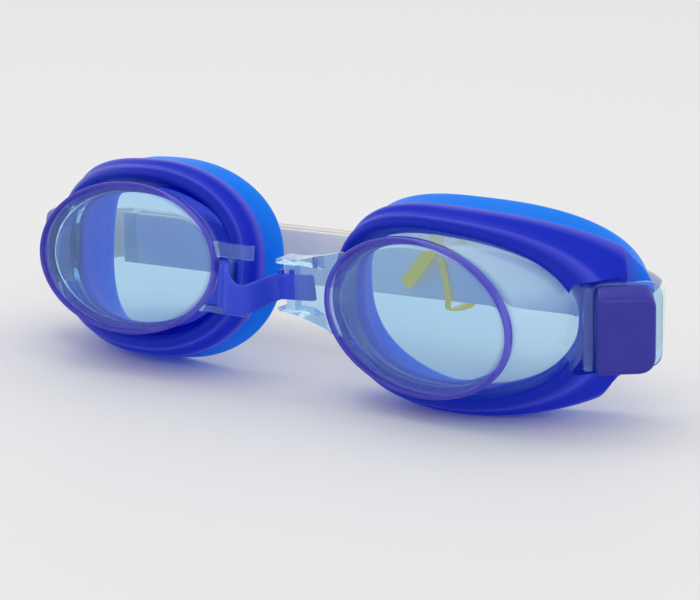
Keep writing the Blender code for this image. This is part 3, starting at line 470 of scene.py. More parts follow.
def addBeltLoop(shell):
    # a tapering block, less a passage for the strap and a relief behind its tail
    level, plate, front = strap["level"], loop["plate"], loop["front"]
    strapFront = front + plate
    strapBack = strapFront + strap["thickness"] + 2 * loop["clearance"]
    back = front + 2 * plate + strap["thickness"] + 2 * loop["clearance"]
    top, low = level + loop["half"], level - loop["half"]
    root, shoulder, reach, stop = -loop["root"], -loop["shoulder"], -loop["reach"], -loop["stop"]
    face = roundOutline(((root, level - loop["rootHalf"]), (root, level + loop["rootHalf"]), (shoulder, top),
                         (reach, top), (reach, low), (shoulder, low)), loop["corners"])
    block = unitBlock("beltLoop", 1, face, front, back, loop["edge"], faceAxes)
    bar, beyond = loop["bar"] + reach, reach - loop["bar"]
    passage = roundOutline(((beyond, front - plate), (shoulder, front - plate), (shoulder, strapFront),
                            (stop, strapFront), (stop, back + plate), (bar, back + plate), (bar, strapBack),
                            (beyond, strapBack)), loop["cutCorner"])
    low, high, soft = low + loop["lowRail"], top - loop["rail"], loop["cutEdge"]
    combine(block, unitBlock("passage", 1, passage, low, high, soft, planAxes), "DIFFERENCE")
    end, reliefRoot = loop["bar"] / 2 + shoulder, plate + root
    relief = roundOutline(((end, back + plate), (end, back), (stop, strapFront), (reliefRoot, strapFront),
                           (reliefRoot, back + plate)), loop["cutCorner"])
    half = loop["reliefHalf"]
    combine(block, unitBlock("relief", 1, relief, -half, half, soft, planAxes), "DIFFERENCE")
    combine(shell, block, "UNION")


def addBracket(shell):
    # two lugs that start inside the rim's ellipse, and a round bar between them
    foot = bracket["hingeLevel"] - strap["leftWidth"] / 2 - arm["gap"]
    levels = ((foot - bracket["lug"], foot), (bracket["top"] - bracket["topLug"], bracket["top"]))
    for k, (low, high) in enumerate(levels):
        edge = cup["rimLength"] * math.sqrt(1 - (max(-low, high) / cup["rimHeight"]) ** 2)
        plan = roundOutline(rectangle(-bracket["reach"], cup["rimWidth"] - edge,
                                      bracket["front"], bracket["back"]), bracket["lugCorner"])
        combine(shell, unitBlock(f"lug{k}", -1, plan, low, high, bracket["lugEdge"], planAxes), "UNION")
    overlap = bracket["lug"] / 2
    angle = np.arange(bracket["barSides"]) * (2 * math.pi / bracket["barSides"])
    plan = np.stack((bracket["hingeRadius"] * np.cos(angle) - bracket["hingeOut"],
                     bracket["hingeRadius"] * np.sin(angle) + bracket["hingeDepth"], 0 * angle), axis=-1)
    bar = unitBlock("bar", -1, plan, foot - overlap, bracket["top"] - overlap, bracket["barEdge"], planAxes)
    combine(shell, bar, "UNION")


# Soft seals

ground = {"half": 0.2, "depth": 0.1, "corner": 0.0010, "edge": 0.0001}


def squareEnd(points):
    # along the temple arm s stops at a limit that steps back with q; the turn to the limit is a parabola
    sweep = math.radians(clip["sweep"])
    out, deep = points[..., 0] - clip["out"][1], points[..., 2] - clip["depth"]
    s = out * math.cos(sweep) + deep * math.sin(sweep)
    q = deep * math.cos(sweep) - out * math.sin(sweep)
    (endOut, endBack), (lipOut, lipBack), soft = seal["bandEnd"], seal["lipShoulder"], seal["endRound"]
    limit = np.interp(q, (endBack, lipBack, lipBack + seal["shoulderStep"]),
                      (endOut, lipOut, seal["lipFree"]))
    limit = limit - seal["endSlope"] * np.clip(seal["slopeBelow"] - points[..., 1], 0, None)
    over = np.clip(s - limit + soft, 0, None)
    kept = np.where(over < 2 * soft, over ** 2 / (4 * soft), over - soft)
    moved = points.copy()
    moved[..., 0] -= kept * math.cos(sweep)
    moved[..., 2] -= kept * math.sin(sweep)
    return moved


def softSeal(name, side):
    # a closed section of grooved band, ridge, waist, lip and seat carried round, then cut for clip and floor
    base = sealRing(cup["base"], cup["baseDepth"])
    ridge = sealRing(seal["ridge"], seal["ridgeDepth"])
    lip = sealRing(seal["lip"], seal["lipDepth"], seal["lipFullness"])
    gap, flange, step = seal["gap"], cup["flange"], seal["step"]
    swell, swellAt, swellOver = seal["lipSwell"]
    angle = np.arange(fine["around"]) * (360 / fine["around"])
    face = (seal["lipFace"] + swell * np.exp(-((angle - swellAt) / swellOver) ** 2))[:, None]
    front = grow(base, cup["flangeWidth"] + gap, -flange - gap)
    waist = grow(between(ridge, lip, seal["waistAt"]), -seal["waistInset"])
    inner = -cup["wall"] - gap
    seat = cup["flangeWidth"] + gap
    corners = [
        (grow(base, gap, -flange - gap), 0.3),
        (grow(front, -0.5 * cup["flangeWidth"], -step), 0.5),
        (front, 0.5),
    ]
    corners += [(grow(between(front, ridge, share), 0, steps * step), 0.5) for share, steps in seal["groove"]]
    corners += [
        (ridge, 0.5),
        (grow(ridge, 0, seal["ridgeWidth"]), 0.5),
        (waist, 0.5),
        (grow(between(ridge, lip, seal["flareAt"]), -0.35 * seal["waistInset"]), 0.5),
        (lip, 0.4),
        (grow(lip, -0.4 * seal["lipThickness"], seal["lipThickness"]), 0.4),
        (grow(lip, -face, 0.4 * seal["lipThickness"]), 0.5),
        (grow(waist, -seal["wall"]), 0.5),
        (grow(base, inner, 2 * (flange + gap)), 0.3),
        (grow(base, inner, flange + gap), 0.2),
        (grow(base, seat, flange + gap), 0.2),
        (grow(base, seat, -gap), 0.2),
        (grow(base, gap, -gap), 0.2),
    ]
    rows, station = roundSection(corners, closed=True)
    made = gridObject(name, standUnit(squareEnd(rows), side), station, joinEnds=True)
    room = arm["notchRoom"]
    notchSide = roundOutline(rectangle(-arm["notchInner"], 2 * clip["length"], clip["bottom"] - room,
                                       clip["top"] + arm["rise"] + room), seal["notchCorners"])
    notch = templeBlock("notch", side, notchSide, -clip["length"], armBack + room, seal["notchEdge"],
                        seal["cutAt"])
    combine(made, notch, "DIFFERENCE")
    half = ground["half"]
    groundSide = roundOutline(rectangle(-half, half, -half, half), ground["corner"])
    below = blockObject("ground", groundSide, -ground["depth"], 0.0, ground["edge"], lambda rows: rows,
                        seal["cutAt"])
    combine(made, below, "DIFFERENCE")
    return made


# Temple clips

def templeClip(name, side):
    # a soft-edged cap, hollow from behind, whose top rises with its depth
    outline = roundOutline(rectangle(0, clip["length"], clip["bottom"], clip["top"]), clip["corners"])
    half = np.array((clip["length"] / 2, (clip["top"] - clip["bottom"]) / 2, 1))
    middle = np.array((clip["length"] / 2, (clip["bottom"] + clip["top"]) / 2, 0))
    soft, thick, wall = 2 * clip["softEdge"], clip["thickness"], clip["wall"]

    def inset(by, back):
        # the outline drawn in towards its middle by the same length on every side
        share = (half - np.array((by, by, 0))) / half
        return middle + (outline - middle) * share + np.array((0, 0, back))

    corners = [
        (inset(clip["faceInset"], 0), 0.3),
        (inset(soft, 0), 0.4),
        (outline, 0.5),
        (inset(0, soft), 0.3),
        (inset(0, thick), 0.15),
        (inset(wall, thick), 0.2),
        (inset(wall, clip["pocketSide"]), 0.3),
        (inset(clip["pocketInset"], wall), 0.3),
        (inset(clip["faceInset"], wall), 0.3),
    ]
    rows, station = roundSection(corners, closed=False)
    share = np.clip(rows[..., 1] / clip["top"], 0, 1)
    rows[..., 1] += clip["topSlope"] * share * rows[..., 2] / thick
    return gridObject(name, standTemple(rows, side), station)


# Nose strap

def strapPoint(out):
    # a point of the straight stretch in the belt loop, which falls evenly by the tilt
    depth = loop["front"] + loop["plate"] + loop["clearance"] + strap["thickness"] / 2
    fall = strap["tilt"] * (out - strap["tip"]) / (loop["reach"] - strap["tip"])
    return standUnit((-out, strap["level"] - fall, depth), 1)


def noseStrap(name):
    # an arc round the hinge bar, a bowed span and the straight stretch, with a section that narrows
    # to the right; the upper half of each section rises by the shoulder, which falls as a smooth step
    hinge = standUnit((-bracket["hingeOut"], bracket["hingeLevel"], bracket["hingeDepth"]), -1)
    inwards, back = turnUnit((-1, 0, 0), -1), turnUnit((0, 0, 1), -1)
    radius = bracket["hingeRadius"] + bracket["hingeGap"] + strap["thickness"] / 2
    angle = np.radians(np.linspace(strap["loopTail"], strap["loopFront"], strap["loopPoints"]))[:, None]
    turn = hinge + radius * (np.cos(angle) * inwards + np.sin(angle) * back)
    start = turn[-1]
    straight, tip = strapPoint(loop["reach"] + strap["leave"]), strapPoint(strap["tip"])
    span = straight - start
    bow = [start + span * shares - np.array((0, forward * strap["bow"], down * strap["sag"]))
           for shares, forward, down in strap["bowPoints"]]
    steps = fine["path"]
    middle = smoothPath([turn[-4], start, *bow, straight, tip])  # the end spans only lead in
    path = np.vstack((turn[:-1], middle[steps:-steps - 1], np.linspace(straight, tip, strap["tipPoints"])))
    share = np.clip((path[:, 0] - start[0]) / span[0], 0, 1)
    share[:len(turn) - 1] = 0
    fall = np.clip(share / strap["shoulderOver"], 0, 1)
    shoulder = strap["shoulder"] * (1 - fall ** 2 * (3 - 2 * fall))
    widths = between(strap["leftWidth"], strap["rightWidth"], share)
    wide = unit(between(turnUnit((0, 1, 0), -1), turnUnit((0, 1, 0), 1), share[:, None]))
    taper = endTaper(path, strap["endRound"])
    widths = widths * (1 - strap["endNarrow"] + strap["endNarrow"] * taper)
    rows = carry(path, wide, widths, strap["thickness"] * taper)
    upper = np.clip(np.cos(profileAngle()), 0, None) ** flatSection["widthPower"]
    rows += (shoulder[:, None] * upper)[..., None] * wide[:, None]
    made = gridObject(name, rows)
    long, thick = strap["toothLength"] / 2, strap["toothHalf"] * strap["thickness"]
    tooth = roundOutline(rectangle(-long, long, -thick, thick), strap["toothCorner"])
    high = strap["rightWidth"] / 2 + strap["toothHeight"]
    for k in range(strap["teeth"]):
        at = strapPoint(strap["toothFirst"] + k * strap["toothPitch"])
        place = (lambda rows, at=at: at + turnUnit(rows[..., planAxes], 1))
        combine(made, blockObject(f"tooth{k}", tooth, 0, high, strap["toothEdge"], place), "UNION")
    return made


# Headband and its tie

def clipStations(side):
    # the band's middle line in a clip: behind the face, through the arm's slot and out at the back
    front = clip["wall"] + 2 * arm["gap"] + band["thickness"] / 2
    thick, slot = band["thickness"], arm["slotWidth"]
    route = ((0.3 * slotMiddle, front), (0.7 * slotMiddle, front + 0.1 * thick),
             (slotMiddle, front + 1.1 * thick), (slotMiddle, 0.5 * (armFront + armBack)),
             (slotMiddle + 0.3 * slot, armBack + 0.6 * thick),
             (slotMiddle + 0.6 * slot, armBack + 1.9 * thick))
    s, q = np.array(route).T
    return standTemple(np.stack((s, np.full_like(s, band["level"]), q), axis=-1), side)


def foldBack(x, near, far, z):
    # a half circle from one run to the next, with a short straight before and after it
    radius, outwards = 0.5 * (far - near), math.copysign(1.0, x)
    angle = math.pi * np.arange(fine["fold"] + 1) / fine["fold"]
    turn = np.stack((x + outwards * radius * np.sin(angle), near + radius * (1 - np.cos(angle)),
                     np.full_like(angle, z)), axis=-1)
    return np.vstack(((x - outwards * radius, near, z), turn, (x - outwards * radius, far, z)))


def hankRoute():
    # from the right clip to three folded runs behind the cups; the lead goes on to the left clip
    right, left = clipStations(1), clipStations(-1)[::-1]
    rightX, rightZ, leftX, leftZ = right[-1][0], right[-1][2], left[0][0], left[0][2]
    deepest, inset, pitch = band["sealBack"], band["rightInset"], band["pitch"]
    passing = rightX - band["rightPass"]
    rightEnd, leftEnd = rightX - inset, leftX + band["leftInset"]
    first = deepest + band["behind"]
    second, third = first + pitch, first + 2 * pitch
    z0, z1, z2, z3 = band["heights"]
    middle = stand["shift"][0]
    hank = np.vstack((
        right,
        (passing, deepest, 0.7 * rightZ + 0.3 * z0),
        (passing - 0.16 * inset, 0.5 * (deepest + first), 0.3 * rightZ + 0.7 * z0),
        (passing - 0.44 * inset, first - 0.05 * inset, z0),
        (rightEnd, first, z0), (middle, first, 0.5 * (z0 + z1)),
        foldBack(leftEnd, first, second, z1), (middle, second, 0.5 * (z1 + z2)),
        foldBack(rightEnd, second, third, z2), (middle, third, 0.5 * (z2 + z3)), (leftEnd, third, z3)))
    outer = leftX - band["leftPass"]
    lead = np.vstack((
        (leftEnd, third, z3), (leftEnd - 0.25 * pitch, third, z3),
        (0.5 * (leftEnd + outer) - 0.25 * pitch, third - 0.3 * pitch, 0.9 * z3 + 0.1 * leftZ),
        (outer, second, 0.7 * z3 + 0.3 * leftZ), (outer, deepest, 0.3 * z3 + 0.7 * leftZ), left))
    return hank, lead


def bandWide(count, side, clipAtStart):
    # the width leans with the clip at the end that lies in one, and stands upright past the lean's spans
    at = np.arange(count) / fine["path"]
    share = np.clip(band["leanKept"] * (1 - at / band["leanSpans"]), 0, 1)[:, None]
    upright, leaning = np.array((0.0, 0.0, 1.0)), turnUnit((0, 1, 0), side)
    return between(upright, leaning, share if clipAtStart else share[::-1])


def bandObject(name, path, wide, taper):
    # the band's width and thickness along the path, both less where the taper is
    width, thick = np.full(len(path), band["width"]), np.full(len(path), band["thickness"])
    width = width * (1 - band["endNarrow"] + band["endNarrow"] * taper)
    return gridObject(name, carry(path, wide, width, thick * taper))


tie = {
    "x": 0.0172, "width": 0.0030, "wireWidth": 0.0014, "thickness": 0.0006, "gap": 0.0004,
    "legReach": 0.0076, "legDrop": 0.0104, "footReach": 0.0024,
    "paper": 0.7, "ridge": 0.5,  # shares: thickness beside the wire, and the wire's rise
    "legLean": (0.8, 0.0, 0.6), "leanSpans": 3, "wireFrom": 8,
}


def twistTie(name, hank):
    # a flat strip with a wire in its middle, carried once round the three runs, with one leg in front
    third = hank[-1][1]
    second, first = third - band["pitch"], third - 2 * band["pitch"]
    half = band["width"] / 2
    off = band["thickness"] / 2 + tie["thickness"] / 2 + tie["gap"]
    x = tie["x"] + stand["shift"][0]
    heights = []
    for y in (first, second, third):
        run = hank[np.abs(hank[:, 1] - y) < band["pitch"] / 8]
        run = run[np.argsort(run[:, 0])]
        heights.append(float(np.interp(x, run[:, 0], run[:, 2])))
    front = first - off
    legs = front - tie["thickness"] - 1.5 * tie["gap"]
    top, low = max(heights) + half + off, min(heights) - half - off
    frontLow = heights[0] - half - off
    reach, drop = tie["legReach"], tie["legDrop"]
    foot, middle = x + tie["footReach"], x + 0.5 * tie["footReach"]
    route = [
        (x - reach, legs, top - drop), (x - 0.5 * reach, legs, top - 0.55 * drop),
        (x - 0.13 * reach, legs, top - 0.15 * drop), (x, front + 0.2 * off, top + off),
        (x, second, top + 0.2 * off), (x, third + off, heights[2] + half), (middle, third + off, heights[2]),
        (foot, third + 0.8 * off, low + 0.3 * off), (foot, second, low - 0.4 * off),
        (foot, front + 0.2 * off, frontLow - 0.1 * off), (foot, front, heights[0] - half + off),
        (middle, front, heights[0]), (x + 0.2 * tie["footReach"], front - 0.1 * off, heights[0] + 0.6 * half),
    ]
    path = smoothPath(route)
    at = np.arange(len(path)) / fine["path"]
    lean = np.clip(1 - at / tie["leanSpans"], 0, 1)[:, None]
    wide = between(np.array((1.0, 0, 0)), np.array(tie["legLean"]), lean)
    widths = tie["width"] + (tie["wireWidth"] - tie["width"]) * np.clip(at - tie["wireFrom"], 0, 1)
    thick = np.full(len(path), tie["paper"] * tie["thickness"])
    return gridObject(name, carry(path, wide, widths, thick, tie["ridge"]))


# Finishes

class Wire:
    # one output of a shader node; arithmetic on it adds Math nodes
    def __init__(self, tree, socket):
        self.tree = tree
        self.socket = socket

    def node(self, kind, settings=None, inputs=None, output=0):
        made = self.tree.nodes.new(kind)
        for key, value in (settings or {}).items():
            if key == "stops":
                ramp = made.color_ramp.elements
                while len(ramp) < len(value):
                    ramp.new(1.0)
                for stop, (place, colour) in zip(ramp, value):
                    stop.position = place
                    stop.color = (*colour, 1.0)
            else:
                setattr(made, key, value)
        for key, value in (inputs or {}).items():
            if isinstance(value, Wire):
                self.tree.links.new(value.socket, made.inputs[key])
            else:
                made.inputs[key].default_value = value
        return Wire(self.tree, made.outputs[output])

    def math(self, operation, first, second):
        return self.node("ShaderNodeMath", {"operation": operation}, {0: first, 1: second})

    def __add__(self, other):
        return self.math("ADD", self, other)

    def __radd__(self, other):
        return self.math("ADD", other, self)

    def __mul__(self, other):
        return self.math("MULTIPLY", self, other)

    def __rmul__(self, other):
        return self.math("MULTIPLY", other, self)

    def mix(self, first, second, blend="MIX"):
        # colours by this wire's share; 6 and 7 are a Mix node's colour sockets, and 2 is its colour output
        settings = {"data_type": "RGBA", "blend_type": blend}
        return self.node("ShaderNodeMix", settings, {0: self, 6: first, 7: second}, 2)


def setValues(shader, values):
    for key, value in values.items():
        shader.inputs[key].default_value = value


def newFinish(name, values):
    # a material with its fixed values, and wires from the Object coordinates and the UV map
    made = bpy.data.materials.new(name)
    made.use_nodes = True
    shader = made.node_tree.nodes["Principled BSDF"]
    setValues(shader, values)
    source = made.node_tree.nodes.new("ShaderNodeTexCoord")
    place, uv = (Wire(made.node_tree, source.outputs[key]) for key in ("Object", "UV"))
    return made, shader, place, uv


def link(shader, **wires):
    for key, wire in wires.items():
        wire.tree.links.new(wire.socket, shader.inputs[key.replace("_", " ")])


def noise(place, scale, detail=3.0, roughness=0.55):
    return place.node("ShaderNodeTexNoise", {}, {"Vector": place, "Scale": scale, "Detail": detail,
                                                 "Roughness": roughness})


def bump(place, height, strength, distance):
    return place.node("ShaderNodeBump", {}, {"Height": height, "Strength": strength, "Distance": distance})


grainLook = {"detail": 2.0, "depth": 0.0002}

clearLook = {
    "values": {"Transmission Weight": 0.93, "IOR": 1.08, "Roughness": 0.0, "Coat Weight": 0.8,
               "Coat IOR": 1.45, "Coat Roughness": 0.03},
    "violetValues": {"Transmission Weight": 0.4, "IOR": 1.08, "Roughness": 0.2, "Coat Weight": 0.8,
                     "Coat Roughness": 0.05},
    # painted highlight: a pale blue layer stands in for overhead light reflected on the upper temple wall
    "paintedHighlightValues": {"Base Color": (0.60, 0.84, 1.0, 1), "Roughness": 0.15, "Coat Weight": 0.8,
                   "Coat Roughness": 0.03},
    "tint": (0.52, 0.79, 1.0, 1), "deep": (0.47, 0.75, 1.0, 1), "flank": (0.54, 0.79, 1.0, 1),
    "rim": (0.07, 0.06, 0.62, 1), "rimDeep": (0.05, 0.04, 0.54, 1),
    "wall": (0.006, 0.012, 0.55, 1),  # painted shade: deep blue on the left cup's clear nose wall, where the seal's dark recess shows through
    "paintedHighlightShare": 0.4, "cloud": 55.0, "grain": 900.0, "lift": 0.015, "liftDepth": 0.0001, "rough": 0.02,
    "rings": 23,  # of the shell's section, counted by the next three
    "rimAt": ((3.6, 0), (4.4, 1), (8.4, 1), (9.2, 0)),
    "wallAt": ((9.0, 0), (9.4, 1), (12.0, 1), (12.6, 0)),
    "flankAt": ((9.0, 0), (9.6, 1), (17.2, 1), (17.8, 0)),
    "paintedHighlightAt": ((0.02, 0), (0.08, 1), (0.20, 1), (0.30, 0)),  # shares of the way round, as noseAt
    "noseAt": ((0.10, 0), (0.24, 1), (0.74, 1), (0.86, 0)),
}


def clearFinish():
    # clear blue with painted shade in deep blue on the left nose wall, mixed with a painted highlight in pale
    # blue on the upper temple wall and a violet rim
    made, shader, place, uv = newFinish("clearBluePolycarbonate", clearLook["values"])
    tree = made.node_tree
    cloud = noise(place, clearLook["cloud"])
    grain = noise(place, clearLook["grain"], grainLook["detail"])
    around = uv.node("ShaderNodeSeparateXYZ", {}, {0: uv}, 0)
    along = uv.node("ShaderNodeSeparateXYZ", {}, {0: uv}, 1)

    def zone(wire, key, whole):
        # a ramp that is 1 between the inner two stops and falls to 0 at the outer ones
        stops = [(at / whole, (share, share, share)) for at, share in clearLook[key]]
        return uv.node("ShaderNodeValToRGB", {"stops": stops}, {0: wire})

    def layer(values, **wires):
        added = tree.nodes.new("ShaderNodeBsdfPrincipled")
        setValues(added, values)
        link(added, **wires)
        return Wire(tree, added.outputs[0])

    rim, wall, flank = (zone(along, key, clearLook["rings"]) for key in ("rimAt", "wallAt", "flankAt"))
    leftCup = place.math("LESS_THAN", place.node("ShaderNodeSeparateXYZ", {}, {0: place}), 0.0)
    # painted shade: the left cup's nose wall turns deep blue
    paintedNoseShade = wall * zone(around, "noseAt", 1) * leftCup
    # painted highlight: a pale layer over the upper temple wall
    paintedWallHighlight = clearLook["paintedHighlightShare"] * wall * zone(around, "paintedHighlightAt", 1)
    skin = bump(place, grain, clearLook["lift"], clearLook["liftDepth"])
    tint = flank.mix(cloud.mix(clearLook["tint"], clearLook["deep"]), clearLook["flank"])
    tint = paintedNoseShade.mix(tint, clearLook["wall"])
    link(shader, Base_Color=tint, Roughness=clearLook["rough"] * cloud * grain, Normal=skin)
    paintedHighlight = layer(clearLook["paintedHighlightValues"], Normal=skin)
    violet = layer(clearLook["violetValues"], Normal=skin,
                   Base_Color=cloud.mix(clearLook["rim"], clearLook["rimDeep"]))
    both = uv.node("ShaderNodeMixShader", {}, {0: paintedWallHighlight, 1: Wire(tree, shader.outputs[0]), 2: paintedHighlight})
    both = uv.node("ShaderNodeMixShader", {}, {0: rim, 1: both, 2: violet})
    tree.links.new(both.socket, tree.nodes["Material Output"].inputs["Surface"])
    return made


sealLook = {
    "values": {"Roughness": 0.38, "IOR": 1.42, "Specular IOR Level": 0.12, "Subsurface Weight": 0.18,
               "Subsurface Scale": 0.003, "Subsurface Radius": (0.25, 0.45, 1.0),
               # painted glow: a faint blue emission stands in for light passing through the silicone and
               # tints the floor's shadow blue
               "Emission Color": (0.008, 0.05, 1.0, 1), "Emission Strength": 0.15},
    # painted shade: the recess colour is darker where the seal meets the cup; painted highlights: the lilac
    # step line and ridge colours
    "recess": (0.008, 0.014, 0.28), "line": (0.064, 0.072, 0.50), "belt": (0.008, 0.016, 0.39),
    "ridge": (0.084, 0.094, 0.50), "lip": (0.004, 0.19, 0.74), "lipEdge": (0.006, 0.23, 0.76),
    "inner": (0.028, 0.056, 0.55),
    "stops": ((0.0, "recess"), (0.115, "recess"), (0.155, "line"), (0.19, "belt"), (0.30, "belt"),
              (0.355, "ridge"), (0.41, "ridge"), (0.45, "lip"), (0.56, "lipEdge"), (0.66, "lip"),
              (0.72, "inner"), (1.0, "recess")),  # shares of the way along the section
    "shade": (0.62, 0.66, 0.86, 1), "shadeLeast": 0.12, "shadeOver": 0.1,
    "cloud": 90.0, "grain": 2600.0, "lift": 0.06, "smoothest": 0.30, "roughOver": 0.16,
}


def sealFinish():
    # colours along the section, with painted shade in the recess and painted highlight lines on the step and
    # ridge, darkened a little by a cloud that also varies the roughness
    made, shader, place, uv = newFinish("softBlueSeal", sealLook["values"])
    across = uv.node("ShaderNodeSeparateXYZ", {}, {0: uv}, 1)
    stops = [(at, sealLook[key]) for at, key in sealLook["stops"]]
    ramp = uv.node("ShaderNodeValToRGB", {"stops": stops}, {0: across})
    cloud = noise(place, sealLook["cloud"])
    grain = noise(place, sealLook["grain"], grainLook["detail"])
    darker = sealLook["shadeLeast"] + sealLook["shadeOver"] * cloud
    link(shader, Base_Color=darker.mix(ramp, sealLook["shade"], "MULTIPLY"),
         Roughness=sealLook["smoothest"] + sealLook["roughOver"] * cloud,
         Normal=bump(place, grain, sealLook["lift"], grainLook["depth"]))
    return made


plainLook = {"smoother": 0.06, "roughOver": 0.14}  # roughness under the given one, and how far it varies

clipLook = {
    "deep": (0.022, 0.020, 0.30, 1), "light": (0.030, 0.027, 0.35, 1), "roughness": 0.28,
    "cloud": 120.0, "grain": 3000.0, "lift": 0.04, "values": {"Specular IOR Level": 0.35},
}

strapLook = {
    "deep": (0.024, 0.055, 0.62, 1), "light": (0.036, 0.075, 0.70, 1), "roughness": 0.36,
    "cloud": 140.0, "grain": 2800.0, "lift": 0.05,
    "values": {"Specular IOR Level": 0.3, "Subsurface Weight": 0.15, "Subsurface Scale": 0.002,
               "Subsurface Radius": (0.3, 0.5, 1.0)},
}

bandLook = {
    "deep": (0.83, 0.82, 0.78, 1), "light": (0.89, 0.88, 0.84, 1), "roughness": 0.40,
    "cloud": 80.0, "grain": 2400.0, "lift": 0.05,
    "values": {"Subsurface Weight": 0.3, "Subsurface Scale": 0.003},
}

tieLook = {
    "deep": (0.92, 0.60, 0.04, 1), "light": (1.0, 0.78, 0.12, 1), "roughness": 0.32,
    "cloud": 420.0, "grain": 1500.0, "lift": 0.25,
    # painted glow: an orange emission brightens the tie where it sits in shade behind the lens
    "values": {"Metallic": 0.1, "Emission Color": (1.0, 0.62, 0.0, 1), "Emission Strength": 0.22},
}


def plainFinish(name, look):
    # two shades and the roughness follow one cloud, and a fine grain lifts the skin
    made, shader, place = newFinish(name, look["values"])[:3]
    cloud = noise(place, look["cloud"])
    grain = noise(place, look["grain"], grainLook["detail"])
    link(shader, Base_Color=cloud.mix(look["deep"], look["light"]),
         Roughness=look["roughness"] - plainLook["smoother"] + plainLook["roughOver"] * cloud,
         Normal=bump(place, grain, look["lift"], grainLook["depth"]))
    return made


print("building lens cups")
shells = {}
for side, label in sides:
    shells[side] = lensShell(f"{label}LensShell", side)
    addTempleArm(shells[side], side)
addBeltLoop(shells[1])
addBracket(shells[-1])

print("building seals and clips")
seals = {side: softSeal(f"{label}Seal", side) for side, label in sides}
clips = {side: templeClip(f"{label}Clip", side) for side, label in sides}

print("building nose strap, headband and tie")
bridge = noseStrap("noseStrap")
hankPoints, leadPoints = hankRoute()
hankPath = smoothPath(hankPoints)
hankTaper = endTaper(hankPath, band["endRound"])
hankTaper[len(hankPath) // 2:] = 1  # only the clip's end of each is tapered
hank = bandObject("bandHank", hankPath, bandWide(len(hankPath), 1, True), hankTaper)
leadPath = smoothPath(leadPoints)
leadWide = bandWide(len(leadPath), -1, False)
leadTaper = endTaper(leadPath, band["endRound"])
leadTaper[:len(leadPath) // 2] = 1
split = band["leadSplit"] * fine["path"]
leadNear = bandObject("bandLeadNear", leadPath[:split + 1], leadWide[:split + 1], leadTaper[:split + 1])
leadFar = bandObject("bandLeadFar", leadPath[split:], leadWide[split:], leadTaper[split:])
wireTie = twistTie("twistTie", hankPoints)

print("finishing surfaces")
clearMade = clearFinish()
sealMade = sealFinish()
clipMade = plainFinish("violetClip", clipLook)
strapMade = plainFinish("blueStrap", strapLook)
bandMade = plainFinish("paleBand", bandLook)
tieMade = plainFinish("goldTie", tieLook)

for side, label in sides:
    body = f"{label}_eyecup"
    for made, node, slot, finish in ((shells[side], "lens_cup", "clear_cup", clearMade),
                                     (seals[side], "gasket", "soft_seal", sealMade),
                                     (clips[side], "temple_clip", "clip", clipMade)):
        made.data.materials.clear()
        made.data.materials.append(finish)
        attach(made, body)
        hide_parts(f"{label}_{node}")

for made, node, slot, finish, body in ((bridge, "nose_bridge", "bridge", strapMade, "nose_bridge"),
                                       (hank, "headband", "band", bandMade, "right_eyecup"),
                                       (wireTie, "strap_tie", "tie", tieMade, "right_eyecup")):
    made.data.materials.clear()
    made.data.materials.append(finish)
    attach(made, body)
    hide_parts(node)

leadStart, leadMeet, leadEnd = (leadPoints[k] for k in (0, band["leadSplit"], band["leadHeld"]))
for made, first, second, begin, stop in ((leadNear, "right_eyecup", "nose_bridge", leadStart, leadMeet),
                                         (leadFar, "nose_bridge", "left_eyecup", leadMeet, leadEnd)):
    made.data.materials.append(bandMade)
    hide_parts("headband_lead")
    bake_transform(made)

print("setting floor, light and camera")
stage = {
    "floorValues": {"Base Color": (0.82, 0.82, 0.825, 1), "Roughness": 0.6, "Specular IOR Level": 0.2},
    "floorHalf": 4.0, "floorLevel": -0.0001,
    "dome": 0.92, "shown": 0.94,  # the dome as light, and as it is seen
    "aim": (0, 0, 0.02),
}

softboxes = {
    "keyBox": {"place": (-0.25, 0.10, 0.85), "size": 0.32, "power": 0.6},
    "fillBox": {"place": (0.7, -0.7, 0.5), "size": 0.25, "power": 0.5},
}

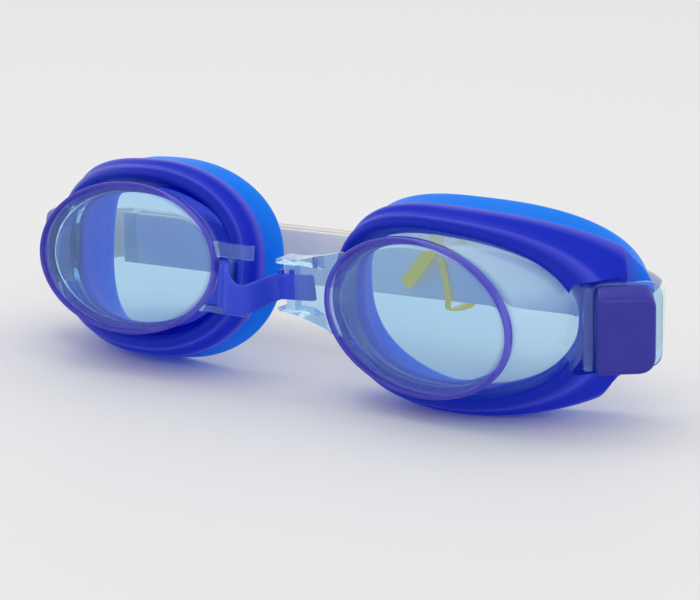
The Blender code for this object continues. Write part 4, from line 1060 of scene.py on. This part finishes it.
floorMesh = bpy.data.meshes.new("floor")
floorSide = rectangle(-stage["floorHalf"], stage["floorHalf"], -stage["floorHalf"], stage["floorHalf"])
floorMesh.from_pydata([(x, y, stage["floorLevel"]) for x, y in floorSide], [], [(0, 1, 2, 3)])
floor = bpy.data.objects.new("floor", floorMesh)
bpy.context.scene.collection.objects.link(floor)
floorMesh.materials.append(newFinish("paleFloor", stage["floorValues"])[0])

world = bpy.data.worlds.new("studio")
bpy.context.scene.world = world
world.use_nodes = True
background = world.node_tree.nodes["Background"]
rays = world.node_tree.nodes.new("ShaderNodeLightPath")
cameraRay, glossyRay, passedRay = (Wire(world.node_tree, rays.outputs[f"Is {kind} Ray"])
                                   for kind in ("Camera", "Glossy", "Transmission"))
seen = cameraRay + glossyRay
seen = seen.math("MAXIMUM", seen, passedRay)
seen = seen.math("MINIMUM", seen, 1.0)
strength = stage["dome"] + (stage["shown"] - stage["dome"]) * seen
world.node_tree.links.new(strength.socket, background.inputs["Strength"])
background.inputs["Color"].default_value = (1, 1, 1, 1)

for name, box in softboxes.items():
    lamp = bpy.data.lights.new(name, "AREA")
    lamp.shape = "SQUARE"
    lamp.size = box["size"]
    lamp.energy = box["power"]
    made = bpy.data.objects.new(name, lamp)
    made.location = box["place"]
    made.rotation_mode = "QUATERNION"
    made.rotation_quaternion = (Vector(stage["aim"]) - Vector(box["place"])).to_track_quat("-Z", "Y")
    bpy.context.scene.collection.objects.link(made)

shot = {
    "azimuth": 33.44, "elevation": 13.57, "distance": 0.456,
    "target": (0.02032, -0.0234, 0.02305), "lens": 118.3, "near": 0.01,
}
azimuth, elevation = math.radians(shot["azimuth"]), math.radians(shot["elevation"])
away = Vector((math.sin(azimuth) * math.cos(elevation), -math.cos(azimuth) * math.cos(elevation),
               math.sin(elevation)))
camera = bpy.data.objects.new("camera", bpy.data.cameras.new("camera"))
camera.data.lens = shot["lens"]
camera.data.clip_start = shot["near"]
camera.location = Vector(shot["target"]) + shot["distance"] * away
camera.rotation_mode = "QUATERNION"
camera.rotation_quaternion = (-away).to_track_quat("-Z", "Y")
bpy.context.scene.collection.objects.link(camera)
bpy.context.scene.camera = camera
bpy.context.scene.view_settings.view_transform = "Standard"
